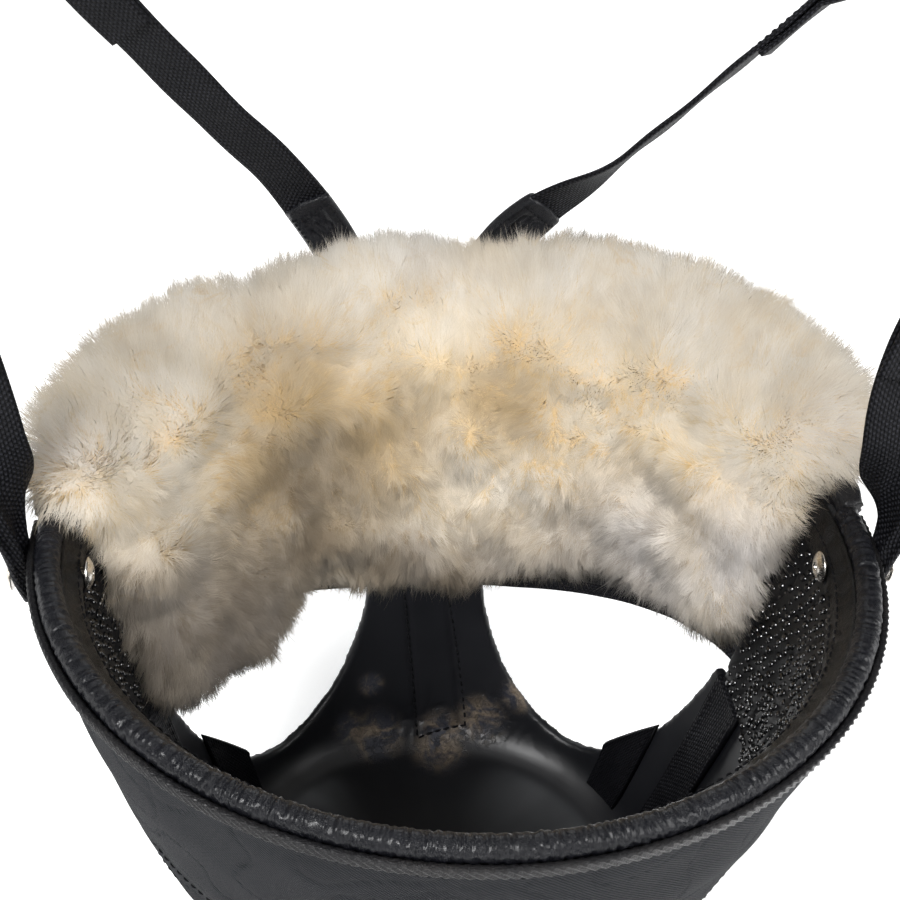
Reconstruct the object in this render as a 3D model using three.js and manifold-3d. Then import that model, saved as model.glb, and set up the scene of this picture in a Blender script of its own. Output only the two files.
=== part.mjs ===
// Grazing muzzle: a rubber bucket with two nostril openings, a fleece-lined noseband,
// a padded side and chin panel with a leather-piped rim, and four webbing straps.
// Millimetres, +Z up. The muzzle stands on its flat rubber base at Z = 0, with the middle of its
// box over the origin; +Y is the nose side, -Y the chin side, and it is built about the base's centre.
import * as THREE from "three";
import { mergeVertices } from "three/addons/utils/BufferGeometryUtils.js";
import Module from "manifold-3d";

const wasm = await Module();
wasm.setup();

// ---------------------------------------------------------------- driving dimensions
const RIM_HEIGHT = 155;          // height at which the wall reaches its full size
const BASE_HALF_WIDTH = 70;      // wall half width (X) at the base
const RIM_HALF_WIDTH = 114;      // wall half width (X) at the rim
const BASE_HALF_DEPTH = 62;      // wall half depth (Y) at the base
const RIM_HALF_DEPTH = 108;      // wall half depth (Y) at the rim
const NOSE_LEAN = 6;             // how far the rim's centre sits forward of the base's centre
const GAP = 0.3;                 // clearance between touching pieces

const RUBBER_WALL = 3.5;
const FLOOR_THICKNESS = 4;
const RUBBER_TOP = 80;           // top edge of the rubber bucket
const GRAZING_HOLE_RADIUS = 16;

const NOSEBAND_TOP = 164;
const NOSEBAND_DROP = 11;        // how far its top edge falls to meet the rim at the sides
const NOSEBAND_LOW_FRONT = 62;   // lower edge of the noseband over the bridge
const NOSEBAND_LOW_SIDE = 86;    // and where it meets the side panel
const NOSEBAND_ENDS = [4, 176];  // degrees round from +X towards +Y
const RIM_ENDS = [-183, 3];      // the piped rim, round the back from noseband to noseband

const PANEL_ENDS = [-188, 8];    // the side and chin panel goes round the back
const PANEL_LOW = 84;
const PANEL_TOP = 152;
const PIPING_RADIUS = 3.3;
const FACING_HEIGHT = 8;

const WEBBING_WIDTH = 20;
const WEBBING_THICKNESS = 1.8;
const TOP_STRAP_WIDTH = 16;

const RIVET_HEIGHT = 147.5;
const RIVET_CAP_RADIUS = 4.5;
const RIVET_POST_RADIUS = 1.6;
const RIVET_GRIP = [9.6, 9.6];   // from the wall to the inner cap, and to the outer one

const WIRE_RADIUS = 1.6;         // hook eyes
const TRIGGER_TRAVEL = 7;

// ---------------------------------------------------------------- materials
const finishes = {
  rubber: { color: 0x16171a, roughness: 0.45, metalness: 0 },
  leather: { color: 0x121214, roughness: 0.4, metalness: 0 },
  twill: { color: 0x17191d, roughness: 0.8, metalness: 0 },
  webbing: { color: 0x141517, roughness: 0.75, metalness: 0 },
  lining: { color: 0x0e0f11, roughness: 0.35, metalness: 0 },
  foam: { color: 0x2a2a2c, roughness: 0.9, metalness: 0 },
  hide: { color: 0xd8cdb8, roughness: 0.9, metalness: 0 },
  fleece: { color: 0xe9dfc6, roughness: 1, metalness: 0 },
  steel: { color: 0xc9c2b6, roughness: 0.25, metalness: 1 },
};

const muzzle = new THREE.Group();

function add(name, geometry, finish, parent = muzzle) {
  const mesh = new THREE.Mesh(geometry, new THREE.MeshStandardMaterial(finishes[finish]));
  mesh.name = name;
  parent.add(mesh);
  return mesh;
}

// ---------------------------------------------------------------- solids
function signedVolume(points, triangles) {
  let volume = 0;
  const cross = new THREE.Vector3();
  for (let i = 0; i < triangles.length; i += 3) {
    const [a, b, c] = [points[triangles[i]], points[triangles[i + 1]], points[triangles[i + 2]]];
    volume += a.dot(cross.crossVectors(b, c)) / 6;
  }
  return volume;
}

function toGeometry(points, triangles) {
  const outward = signedVolume(points, triangles) > 0 ? triangles : triangles.slice().reverse();
  const geometry = new THREE.BufferGeometry().setFromPoints(points);
  geometry.setIndex(outward);
  geometry.computeVertexNormals();
  return geometry;
}

// Joins a row of loops, each with the same even number of points, into one closed solid.
// Open rows are capped by pairing each loop's first half with its second half.
function loft(loops, closed = false) {
  const size = loops[0].length;
  const points = loops.flat();
  const triangles = [];
  const quad = (a, b, c, d) => triangles.push(a, b, c, a, c, d);
  const joins = closed ? loops.length : loops.length - 1;
  for (let i = 0; i < joins; i += 1) {
    const here = i * size;
    const next = ((i + 1) % loops.length) * size;
    for (let k = 0; k < size; k += 1) {
      const after = (k + 1) % size;
      quad(here + k, here + after, next + after, next + k);
    }
  }
  if (!closed) {
    const last = (loops.length - 1) * size;
    for (let k = 0; k < size / 2 - 1; k += 1) {
      const [across, beyond] = [size - 1 - k, size - 2 - k];
      quad(k, across, beyond, k + 1);
      quad(last + k, last + k + 1, last + beyond, last + across);
    }
  }
  return toGeometry(points, triangles);
}

function toManifold(geometry) {
  const bare = geometry.clone();
  bare.deleteAttribute("normal");
  bare.deleteAttribute("uv");
  const merged = mergeVertices(bare, 1e-4);
  const vertProperties = new Float32Array(merged.attributes.position.array);
  const triVerts = new Uint32Array(merged.index.array);
  return new wasm.Manifold(new wasm.Mesh({ numProp: 3, vertProperties, triVerts }));
}

function fromManifold(solid) {
  const { vertProperties, triVerts } = solid.getMesh();
  const geometry = new THREE.BufferGeometry();
  geometry.setAttribute("position", new THREE.BufferAttribute(new Float32Array(vertProperties), 3));
  geometry.setIndex(new THREE.BufferAttribute(new Uint32Array(triVerts), 1));
  geometry.computeVertexNormals();
  return geometry;
}

function cut(geometry, tools) {
  return fromManifold(tools.reduce((solid, tool) => solid.subtract(toManifold(tool)), toManifold(geometry)));
}

function join(...geometries) {
  return fromManifold(geometries.map(toManifold).reduce((solid, more) => solid.add(more)));
}

// ---------------------------------------------------------------- the cup's wall
const radians = THREE.MathUtils.degToRad;
const cosine = (degrees) => Math.cos(radians(degrees));
const sine = (degrees) => Math.sin(radians(degrees));

// A point on the cup's wall: the angle goes round from +X towards +Y (the nose), the offset
// goes outwards from the outer face of the rubber.
function wall(degrees, z, offset = 0) {
  const t = Math.max(z, 0) / RIM_HEIGHT;
  const halfWidth = BASE_HALF_WIDTH + (RIM_HALF_WIDTH - BASE_HALF_WIDTH) * t ** 0.8 + offset;
  const halfDepth = BASE_HALF_DEPTH + (RIM_HALF_DEPTH - BASE_HALF_DEPTH) * t ** 0.85 + offset;
  return new THREE.Vector3(halfWidth * cosine(degrees), NOSE_LEAN * t + halfDepth * sine(degrees), z);
}

function steps(from, to, count) {
  return Array.from({ length: count + 1 }, (_, i) => from + ((to - from) * i) / count);
}

// A piece of the wall between two offsets, from low(angle) to high(angle).
function wallBand([start, end], [inner, outer], low, high, { around = 36, rows = 3 } = {}) {
  const loops = steps(start, end, around).map((degrees) => {
    const heights = steps(low(degrees), high(degrees), rows);
    const outside = heights.map((z) => wall(degrees, z, outer));
    const inside = heights.map((z) => wall(degrees, z, inner)).reverse();
    return [...outside, ...inside];
  });
  return loft(loops);
}

const level = (z) => () => z;
const nosebandLow = (degrees) =>
  NOSEBAND_LOW_FRONT + (NOSEBAND_LOW_SIDE - NOSEBAND_LOW_FRONT) * cosine(degrees) ** 2;
const nosebandTop = (degrees) => NOSEBAND_TOP - NOSEBAND_DROP * cosine(degrees) ** 14;
const above = (edge, rise) => (degrees) => edge(degrees) + rise;

// ---------------------------------------------------------------- rubber base
function rubberBucket() {
  const floorRadii = [0.55, 0.8, 0.93];
  const wallHeights = [3, 9, 20, 36, 58, RUBBER_TOP];
  const loops = steps(0, 360, 60).slice(0, -1).map((degrees) => {
    const hole = (z) => new THREE.Vector3(
      GRAZING_HOLE_RADIUS * cosine(degrees), GRAZING_HOLE_RADIUS * sine(degrees), z);
    const floor = (scale, z) => wall(degrees, 0).multiplyScalar(scale).setZ(z);
    const outside = [hole(0), ...floorRadii.map((s) => floor(s, 0)),
      ...wallHeights.map((z) => wall(degrees, z))];
    const inside = [hole(FLOOR_THICKNESS), ...floorRadii.map((s) => floor(s - 0.01, FLOOR_THICKNESS)),
      ...wallHeights.map((z) => wall(degrees, Math.max(z, FLOOR_THICKNESS + 1.5), -RUBBER_WALL))];
    return [...outside, ...inside.reverse()];
  });
  return loft(loops, true);
}

// A cutter that follows the wall: the outline's x is the angle and its y the height.
function wallCutter(drawn, [inner, outer]) {
  const outline = THREE.ShapeUtils.isClockWise(drawn) ? drawn.slice().reverse() : drawn;
  const count = outline.length;
  const points = [inner, outer].flatMap((offset) => outline.map((p) => wall(p.x, p.y, offset)));
  const faces = THREE.ShapeUtils.triangulateShape(outline, []);
  const triangles = [];
  for (const [a, b, c] of faces) {
    triangles.push(a, b, c, c + count, b + count, a + count);
  }
  for (let i = 0; i < count; i += 1) {
    const next = (i + 1) % count;
    triangles.push(i, i + count, next, next, i + count, next + count);
  }
  return toGeometry(points, triangles);
}

// Half of the nose side's outline: up the bridge's edge, over the top, down beside the
// side band and along the scooped lower edge.
function nostrilOutline(mirror) {
  const half = new THREE.Shape();
  half.moveTo(76.5, RUBBER_TOP + 8);
  half.lineTo(76.5, 62);
  half.bezierCurveTo(75, 46, 68, 24, 54, 17.5);
  half.bezierCurveTo(44, 13, 33, 18, 27, 30);
  half.bezierCurveTo(21, 42, 15, 60, 13, RUBBER_TOP + 8);
  return half.getPoints(9).slice(0, -1).map((p) => new THREE.Vector2(mirror ? 180 - p.x : p.x, p.y));
}

const nostrilCutters = [false, true].map((mirror) => wallCutter(nostrilOutline(mirror), [-14, 40]));
add("rubber_base", cut(rubberBucket(), nostrilCutters), "rubber");

// ---------------------------------------------------------------- webbing on the rubber
const BAND_FACE = [-RUBBER_WALL - GAP - WEBBING_THICKNESS, -RUBBER_WALL - GAP];

function uprightBand(centre, low, high) {
  const halfAngle = THREE.MathUtils.radToDeg(WEBBING_WIDTH / 2 / 90);
  const across = [centre - halfAngle, centre + halfAngle];
  return wallBand(across, BAND_FACE, level(low), high, { around: 4, rows: 6 });
}

for (const [side, mirror] of [["right", false], ["left", true]]) {
  const turn = (degrees) => (mirror ? 180 - degrees : degrees);
  add(`side_band_${side}`, uprightBand(turn(4), 9, level(82)), "webbing");
  const slope = (degrees) => 27 + 1.6 * (33 - turn(degrees));
  add(`front_band_${side}`, uprightBand(turn(27), 9, slope), "webbing");
  add(`rear_band_${side}`, uprightBand(turn(-45), 9, level(82)), "webbing");
}
add("chin_band", uprightBand(-90, 9, level(82)), "webbing");

// The strap stitched up the outside of the rubber bridge.
add("bridge_strap",
  wallBand([84, 96], [GAP, GAP + WEBBING_THICKNESS], level(10), level(58), { around: 4, rows: 8 }),
  "webbing");

// ---------------------------------------------------------------- noseband
add("noseband_shell",
  wallBand(NOSEBAND_ENDS, [1.9, 4], nosebandLow, nosebandTop, { rows: 4 }), "leather");
add("noseband_webbing",
  wallBand([12, 168], [4.3, 6.1], above(nosebandLow, -6), above(nosebandLow, 14), { rows: 2 }), "webbing");
add("noseband_top_binding",
  wallBand(NOSEBAND_ENDS, [-4.2, 4.8], above(nosebandTop, GAP), above(nosebandTop, 5), { rows: 1 }),
  "leather");
add("noseband_foam",
  wallBand([15, 165], [-3.5, 1.6], above(nosebandLow, 22), above(nosebandTop, -2)), "foam");
for (const [side, ends] of [["right", [20, 80]], ["left", [100, 160]]]) {
  add(`fleece_fastener_${side}`,
    wallBand(ends, [-4.9, -3.8], level(112), level(150), { around: 16, rows: 2 }), "webbing");
}
add("fleece_hide",
  wallBand([12, 168], [-7, -5.2], above(nosebandLow, 8), above(nosebandTop, -2)), "hide");
add("fleece_pile",
  wallBand([10, 170], [-27, -7.3], above(nosebandLow, 3), above(nosebandTop, 12)), "fleece");

// ---------------------------------------------------------------- side and chin panel
const RIVET_ANGLE = -4;

function rivetHole(mirror) {
  const degrees = mirror ? 180 - RIVET_ANGLE : RIVET_ANGLE;
  const place = wall(degrees, RIVET_HEIGHT);
  const hole = new THREE.CylinderGeometry(RIVET_POST_RADIUS + GAP, RIVET_POST_RADIUS + GAP, 40, 20);
  hole.rotateZ(Math.PI / 2);
  hole.translate(place.x, place.y, place.z);
  return hole;
}

const rivetHoles = [rivetHole(false), rivetHole(true)];
const panelBand = (face, low, high, options) =>
  cut(wallBand(PANEL_ENDS, face, level(low), level(high), { around: 48, ...options }), rivetHoles);

add("panel_shell", panelBand([GAP, 1.6], PANEL_LOW - 14, PANEL_TOP), "twill");
add("panel_foam", panelBand([-5, 0], PANEL_LOW, PANEL_TOP), "foam");
add("panel_lining", panelBand([-6.6, -5.3], PANEL_LOW, PANEL_TOP - 4), "lining");
add("rim_facing", panelBand([-8.4, -6.9], PANEL_TOP - FACING_HEIGHT, PANEL_TOP, { rows: 1 }), "leather");
add("rim_binding",
  wallBand(RIM_ENDS, [1.9, 3.6], level(PANEL_TOP - 1.5), level(PANEL_TOP + 3), { around: 48, rows: 1 }),
  "leather");

function rimPiping() {
  const height = PANEL_TOP + PIPING_RADIUS + GAP;
  return loft(steps(...RIM_ENDS, 56).map((degrees) => steps(0, 360, 8).slice(0, -1).map((turn) =>
    wall(degrees, height, PIPING_RADIUS * cosine(turn) - 2.6).setZ(height + PIPING_RADIUS * sine(turn)))));
}

add("rim_piping", rimPiping(), "leather");

// ---------------------------------------------------------------- rivets
function rivetCap(dome) {
  const profile = [[0, 0], [RIVET_CAP_RADIUS, 0], [RIVET_CAP_RADIUS, 0.6], [3.4, dome * 0.8],
    [1.6, dome], [1.1, dome], [0.9, dome * 0.5], [0, dome * 0.5]];
  return new THREE.LatheGeometry(profile.map(([x, y]) => new THREE.Vector2(x, y)), 18);
}

function rivetPost(length) {
  return new THREE.CylinderGeometry(RIVET_POST_RADIUS, RIVET_POST_RADIUS, length, 16);
}

// ---------------------------------------------------------------- straps
// A ribbon through stations, each with a centre, a half-width vector and a face normal.
function ribbon(stations, thickness = WEBBING_THICKNESS) {
  return loft(stations.map(({ centre, halfWidth, normal }) => {
    const corner = (across, out) => centre.clone()
      .addScaledVector(halfWidth, across)
      .addScaledVector(normal, (out * thickness) / 2);
    return [corner(1, 1), corner(-1, 1), corner(-1, -1), corner(1, -1)];
  }));
}

// Carries a strap on past its last station: round a bar and back down its own inner face.
function foldedEnd(last, along, returnLength) {
  const reach = WIRE_RADIUS + GAP + WEBBING_THICKNESS / 2;
  const { centre, halfWidth, normal } = last;
  const bar = centre.clone().addScaledVector(along, 5).addScaledVector(normal, -reach);
  const turned = steps(0, 180, 10).map((degrees) => {
    const out = normal.clone().multiplyScalar(cosine(degrees)).addScaledVector(along, sine(degrees));
    return { centre: bar.clone().addScaledVector(out, reach), halfWidth, normal: out };
  });
  const back = normal.clone().negate();
  const lap = WEBBING_THICKNESS + GAP + 0.1;
  const downTheFace = [2, returnLength].map((distance) => ({
    centre: centre.clone().addScaledVector(along, -distance).addScaledVector(normal, -lap),
    halfWidth,
    normal: back,
  }));
  return { bar, stations: [...turned, ...downTheFace] };
}

// A strap through waypoints; the width turns about the strap by the given twist.
function strap(waypoints, { width, lowerWidth = width, taperTo = 1, facing, twist, fold }) {
  const curve = new THREE.CatmullRomCurve3(waypoints.map((p) => new THREE.Vector3(...p)));
  const count = 16;
  const stations = steps(0, 1, count).map((t) => {
    const along = curve.getTangentAt(t);
    const across = new THREE.Vector3().crossVectors(along, new THREE.Vector3(...facing)).normalize();
    across.applyAxisAngle(along, radians(twist.angle * THREE.MathUtils.smoothstep(t, twist.from, twist.to)));
    const size = THREE.MathUtils.lerp(lowerWidth, width, Math.min(t / taperTo, 1)) / 2;
    const normal = new THREE.Vector3().crossVectors(across, along).normalize();
    return { centre: curve.getPointAt(t), halfWidth: across.multiplyScalar(size), normal };
  });
  const along = curve.getTangentAt(1);
  const end = foldedEnd(stations[count], along, fold);
  return { stations: [...stations, ...end.stations], bar: end.bar, along, last: stations[count] };
}

function place(group, { bar, along, last }) {
  const across = last.halfWidth.clone().normalize();
  const basis = new THREE.Matrix4().makeBasis(across, new THREE.Vector3().crossVectors(along, across), along);
  group.applyMatrix4(basis.setPosition(bar));
  muzzle.add(group);
}

// ---------------------------------------------------------------- wire fittings
function wire(points, radius, { sides = 8, count = 24 } = {}) {
  const curve = new THREE.CatmullRomCurve3(points.map((p) => new THREE.Vector3(...p)), false, "centripetal");
  const frames = curve.computeFrenetFrames(count, false);
  const loops = steps(0, 1, count).map((t, i) => {
    const centre = curve.getPointAt(t);
    return steps(0, 360, sides).slice(0, -1).map((turn) => centre.clone()
      .addScaledVector(frames.normals[i], radius * cosine(turn))
      .addScaledVector(frames.binormals[i], radius * sine(turn)));
  });
  return loft(loops, false);
}

function cylinder(radius, from, to, sides = 20) {
  const geometry = new THREE.CylinderGeometry(radius, radius, to - from, sides);
  geometry.rotateX(Math.PI / 2);
  geometry.translate(0, 0, (from + to) / 2);
  return geometry;
}

// A flat wire ring: a rounded rectangle in the XZ plane with its lower bar on the X axis.
function wireRing(halfWidth, height, corner, radius) {
  const outline = new THREE.Shape();
  outline.absarc(halfWidth - corner, corner, corner, -Math.PI / 2, 0);
  outline.absarc(halfWidth - corner, height - corner, corner, 0, Math.PI / 2);
  outline.absarc(corner - halfWidth, height - corner, corner, Math.PI / 2, Math.PI);
  outline.absarc(corner - halfWidth, corner, corner, Math.PI, Math.PI * 1.5);
  const points = outline.getPoints(5);
  return loft(points.map((p, i) => {
    const before = points[(i + points.length - 1) % points.length];
    const after = points[(i + 1) % points.length];
    const outward = after.clone().sub(before).normalize();
    return steps(0, 360, 8).slice(0, -1).map((turn) => new THREE.Vector3(
      p.x + outward.y * radius * cosine(turn), radius * sine(turn), p.y - outward.x * radius * cosine(turn)));
  }), true);
}

const EYE_HEIGHT = 14;
const BARREL_RADIUS = 5;
const BARREL_LOW = EYE_HEIGHT + WIRE_RADIUS + 0.6;
const BARREL_HIGH = BARREL_LOW + 24;
const BOLT_RADIUS = 2;
const STUD_RADIUS = 2;
const HOOK_HEIGHT = 22;          // clear height inside the hook
const HOOK_DEPTH = 15;           // how far the hook stands out from the bolt

function hookEye() {
  const ring = wireRing(WEBBING_WIDTH / 2 + 4.5, EYE_HEIGHT, 4, WIRE_RADIUS);
  const stud = cylinder(STUD_RADIUS, EYE_HEIGHT - 0.6, BARREL_LOW + 3);
  const head = cylinder(STUD_RADIUS + 1, BARREL_LOW + 2, BARREL_LOW + 4);
  return join(ring, stud, head);
}

function hookBody() {
  const barrel = cylinder(BARREL_RADIUS, BARREL_LOW, BARREL_HIGH, 28);
  const top = BARREL_HIGH + HOOK_HEIGHT;
  const hook = wire([[0, 3, BARREL_LOW + 6], [0, 8, BARREL_LOW + 12], [0, HOOK_DEPTH, BARREL_HIGH],
    [0, HOOK_DEPTH, top - 8], [0, HOOK_DEPTH / 2, top], [0, 0.5, top - 3], [0, 0, top - 9]], 2.4, { count: 20 });
  const bore = cylinder(BOLT_RADIUS + GAP, BARREL_LOW + 6, BARREL_HIGH + 2);
  const chamber = cylinder(STUD_RADIUS + 1 + GAP, BARREL_LOW + 1.6, BARREL_LOW + 6.2);
  const mouth = cylinder(STUD_RADIUS + GAP, BARREL_LOW - 2, BARREL_LOW + 2);
  const slot = new THREE.BoxGeometry(3, 8, TRIGGER_TRAVEL + 4);
  slot.translate(0, -5, BARREL_HIGH - 4 - (TRIGGER_TRAVEL + 4) / 2);
  return cut(join(barrel, hook), [bore, chamber, mouth, slot]);
}

function trigger() {
  const top = BARREL_HIGH + HOOK_HEIGHT - 9 - GAP;
  const bolt = cylinder(BOLT_RADIUS, BARREL_HIGH - 9, top);
  const stem = new THREE.BoxGeometry(2.2, 7, 2.4);
  stem.translate(0, -4.2, BARREL_HIGH - 6);
  const thumb = new THREE.SphereGeometry(2.8, 16, 10);
  thumb.scale(1, 0.7, 1.2);
  thumb.translate(0, -8, BARREL_HIGH - 6);
  return join(bolt, stem, thumb);
}

// The spring is drawn at its pressed length, under the bolt at full travel.
function spring() {
  const turns = 3;
  const height = BARREL_HIGH - 9 - TRIGGER_TRAVEL - GAP - (BARREL_LOW + 4.6);
  const points = steps(0, turns, turns * 6).map((turn) =>
    [1.5 * cosine(turn * 360), 1.5 * sine(turn * 360), BARREL_LOW + 4.7 + (height - 0.8) * (turn / turns)]);
  return wire(points, 0.35, { sides: 5, count: turns * 8 });
}

// ---------------------------------------------------------------- left and right sets
const cheekWaypoints = {
  right: [[117.4, 0, 141], [119, 0, 150], [119.5, 0, 164], [117, 1, 180], [114, 2, 200], [114.5, 3, 218],
    [118, 4, 236]],
  left: [[-117.4, 0, 141], [-119, 0, 150], [-120.5, 0, 164], [-122.5, 1, 180], [-125, 2, 200], [-128, 3, 218],
    [-131, 4, 236]],
};
const topWaypoints = [[20, 122.6, 146], [22, 126.6, 160], [27, 129.6, 172], [37, 128.6, 187], [52.6, 124, 205],
  [67.8, 119, 223], [93, 113, 254], [108, 110.5, 272]];
const TOP_STRAP_SHIFT = [-6.5, -6, -5.5, -4];  // the lower ends sit a little to the left of the middle

for (const [side, sign] of [["right", 1], ["left", -1]]) {
  const cheek = strap(cheekWaypoints[side], {
    width: WEBBING_WIDTH, lowerWidth: 10, taperTo: 0.35, facing: [sign, 0, 0], fold: 26,
    twist: { angle: 90 * sign, from: 0.14, to: 0.55 } });
  const rivet = wall(side === "right" ? RIVET_ANGLE : 180 - RIVET_ANGLE, RIVET_HEIGHT);
  const hole = rivetHoles[side === "right" ? 0 : 1];
  add(`cheek_strap_${side}`, cut(ribbon(cheek.stations), [hole]), "webbing");

  const fitting = new THREE.Group();
  add(`hook_eye_${side}`, hookEye(), "steel", fitting);
  add(`hook_body_${side}`, hookBody(), "steel", fitting);
  add(`hook_trigger_${side}`, trigger(), "steel", fitting);
  add(`hook_spring_${side}`, spring(), "steel", fitting);
  place(fitting, cheek);

  const inner = new THREE.Group();
  inner.position.set(rivet.x - sign * RIVET_GRIP[0], rivet.y, rivet.z);
  inner.rotation.z = (sign * Math.PI) / 2;
  add(`rivet_cap_${side}`, rivetCap(1.9), "steel", inner);
  const post = rivetPost(RIVET_GRIP[0] + RIVET_GRIP[1] - 2 * GAP);
  post.translate(0, -(RIVET_GRIP[0] + RIVET_GRIP[1]) / 2, 0);
  add(`rivet_post_${side}`, post, "steel", inner);
  muzzle.add(inner);
  const outer = new THREE.Group();
  outer.position.set(rivet.x + sign * RIVET_GRIP[1], rivet.y, rivet.z);
  outer.rotation.z = (-sign * Math.PI) / 2;
  add(`rivet_back_${side}`, rivetCap(1.6), "steel", outer);
  muzzle.add(outer);

  const seated = topWaypoints.map(([x, y, z], i) => [x * sign + (TOP_STRAP_SHIFT[i] ?? 0), y, z]);
  const top = strap(seated, {
    width: TOP_STRAP_WIDTH, facing: [0, 1, 0], fold: 24,
    twist: { angle: side === "right" ? 58 : -15, from: 0.2, to: 0.55 } });
  add(`top_strap_${side}`, ribbon(top.stations), "webbing");
}

const box = new THREE.Box3().setFromObject(muzzle, true);
muzzle.position.set(-(box.min.x + box.max.x) / 2, -(box.min.y + box.max.y) / 2, 0);

export default muzzle;
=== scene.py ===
# Grazing muzzle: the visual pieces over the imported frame. Shapes are laid out in millimetres about the
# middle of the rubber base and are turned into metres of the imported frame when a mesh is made.
import math

import bmesh
import bpy
import numpy as np
from mathutils import Matrix, Vector, kdtree


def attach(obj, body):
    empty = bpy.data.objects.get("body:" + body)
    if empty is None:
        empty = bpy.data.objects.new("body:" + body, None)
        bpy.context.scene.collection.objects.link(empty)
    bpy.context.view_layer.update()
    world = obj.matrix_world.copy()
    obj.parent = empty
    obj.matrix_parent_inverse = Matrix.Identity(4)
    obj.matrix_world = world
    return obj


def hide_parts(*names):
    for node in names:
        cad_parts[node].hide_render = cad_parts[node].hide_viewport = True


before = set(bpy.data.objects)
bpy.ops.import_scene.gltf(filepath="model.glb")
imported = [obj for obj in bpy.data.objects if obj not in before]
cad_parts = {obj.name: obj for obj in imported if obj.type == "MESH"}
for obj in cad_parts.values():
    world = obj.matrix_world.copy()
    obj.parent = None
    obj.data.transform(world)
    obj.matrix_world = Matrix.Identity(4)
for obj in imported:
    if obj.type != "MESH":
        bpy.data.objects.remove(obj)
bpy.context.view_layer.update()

# ------------------------------------------------------------------ driving dimensions
CENTRE = np.array([6.328, -12.76, 0.0])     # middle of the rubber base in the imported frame
RIM_HEIGHT = 155.0
PIPING_RADIUS, FACING_HEIGHT = 3.3, 8.0
PANEL_SKIRT, PANEL_LOW, PANEL_TOP = 70.0, 84.0, 152.0
LINING_INNER = -6.6
RIM_ENDS = (-183.0, 3.0)
PANEL_ENDS = (-188.0, 8.0)
NOSEBAND_ENDS = (4.0, 176.0)
WEBBING = 1.8
WALL_PER_RADIAN = 95.0      # millimetres round the wall, used to size surface relief
RNG = np.random.default_rng(7)


def wall(degrees, z, offset=0.0):
    """Points on the muzzle's wall: an angle from the right towards the nose, a height, and an offset."""
    degrees, z, offset = np.broadcast_arrays(np.asarray(degrees, float), z, offset)
    t = np.maximum(z, 0) / RIM_HEIGHT
    angle = np.radians(degrees)
    half_width = 70 + 44 * t**0.8 + offset
    half_depth = 62 + 46 * t**0.85 + offset
    return np.stack([half_width * np.cos(angle), 6 * t + half_depth * np.sin(angle), z], -1)


def noseband_low(degrees):
    return 62 + 24 * np.cos(np.radians(degrees)) ** 2


def noseband_top(degrees):
    return 164 - 11 * np.cos(np.radians(degrees)) ** 14


def unit(v):
    return v / np.maximum(np.linalg.norm(v, axis=-1, keepdims=True), 1e-9)


def to_frame(points):
    """Millimetres about the base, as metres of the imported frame."""
    return (points + CENTRE) / 1000


def travelled(path):
    """The distance along a path at each of its points."""
    return np.concatenate([[0], np.cumsum(np.linalg.norm(np.diff(path, axis=0), axis=1))])


def follow(values, distance, at):
    """The three columns of values, read off at places along a path."""
    return np.stack([np.interp(at, distance, values[:, k]) for k in range(3)], 1)


def ripple(u, v, size, seed, count=14):
    """Smooth random relief between about -1 and 1, with swells of the given size."""
    rng = np.random.default_rng(seed)
    angle, phase = rng.uniform(0, 2 * np.pi, (2, count))
    pace = 2 * np.pi / size * rng.uniform(0.6, 1.5, count)
    total = 0
    for a, p, k in zip(angle, phase, pace):
        total = total + np.cos(k * (np.cos(a) * u + np.sin(a) * v) + p)
    return total / math.sqrt(count / 1.6)


def crease(u, v, size, seed, sharpness=3.0):
    """Narrow valleys, 0 on the open surface and 1 along the creases."""
    return np.clip(1 - np.abs(ripple(u, v, size, seed)) * sharpness, 0, 1) ** 2


def smooth_step(x, low, high):
    t = np.clip((np.asarray(x, float) - low) / (high - low), 0, 1)
    return t * t * (3 - 2 * t)


# ------------------------------------------------------------------ meshes
def link_object(name, data):
    piece = bpy.data.objects.new(name, data)
    bpy.context.collection.objects.link(piece)
    return piece


def set_places(mesh, points):
    mesh.vertices.foreach_set("co", to_frame(points).astype(np.float32).ravel())


def lay_uvs(mesh, surface, bake):
    """The UV layer that the materials read, Surface, and a second one, OFBake."""
    for layer, uv in (("Surface", surface), ("OFBake", bake)):
        mesh.uv_layers.new(name=layer)
        mesh.uv_layers[layer].data.foreach_set("uv", np.asarray(uv, np.float32).ravel())


def mesh_piece(name, points, faces, surface_uv, bake_uv, finish, body="root"):
    """A mesh from millimetre points and lists of faces of one size each, with a UV pair per face corner."""
    mesh = bpy.data.meshes.new(name)
    mesh.vertices.add(len(points))
    set_places(mesh, points)
    corners = np.concatenate([f.ravel() for f in faces]).astype(np.int32)
    sizes = np.concatenate([np.full(len(f), f.shape[1]) for f in faces]).astype(np.int32)
    mesh.loops.add(len(corners))
    mesh.loops.foreach_set("vertex_index", corners)
    mesh.polygons.add(len(sizes))
    mesh.polygons.foreach_set("loop_start", np.concatenate([[0], np.cumsum(sizes)[:-1]]).astype(np.int32))
    mesh.polygons.foreach_set("use_smooth", np.ones(len(sizes), bool))
    lay_uvs(mesh, surface_uv, bake_uv)
    mesh.update(calc_edges=True)
    mesh.validate()
    return dress(name, mesh, finish, body)


def dress(name, mesh, finish, body="root"):
    """The piece made of a mesh; one named after a CAD node stands for that node."""
    piece = link_object(f"{name}_form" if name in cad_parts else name, mesh)
    mesh.name = piece.name
    mesh.materials.append(finish.material)
    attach(piece, body)
    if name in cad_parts:
        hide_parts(name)
    return piece


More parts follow.
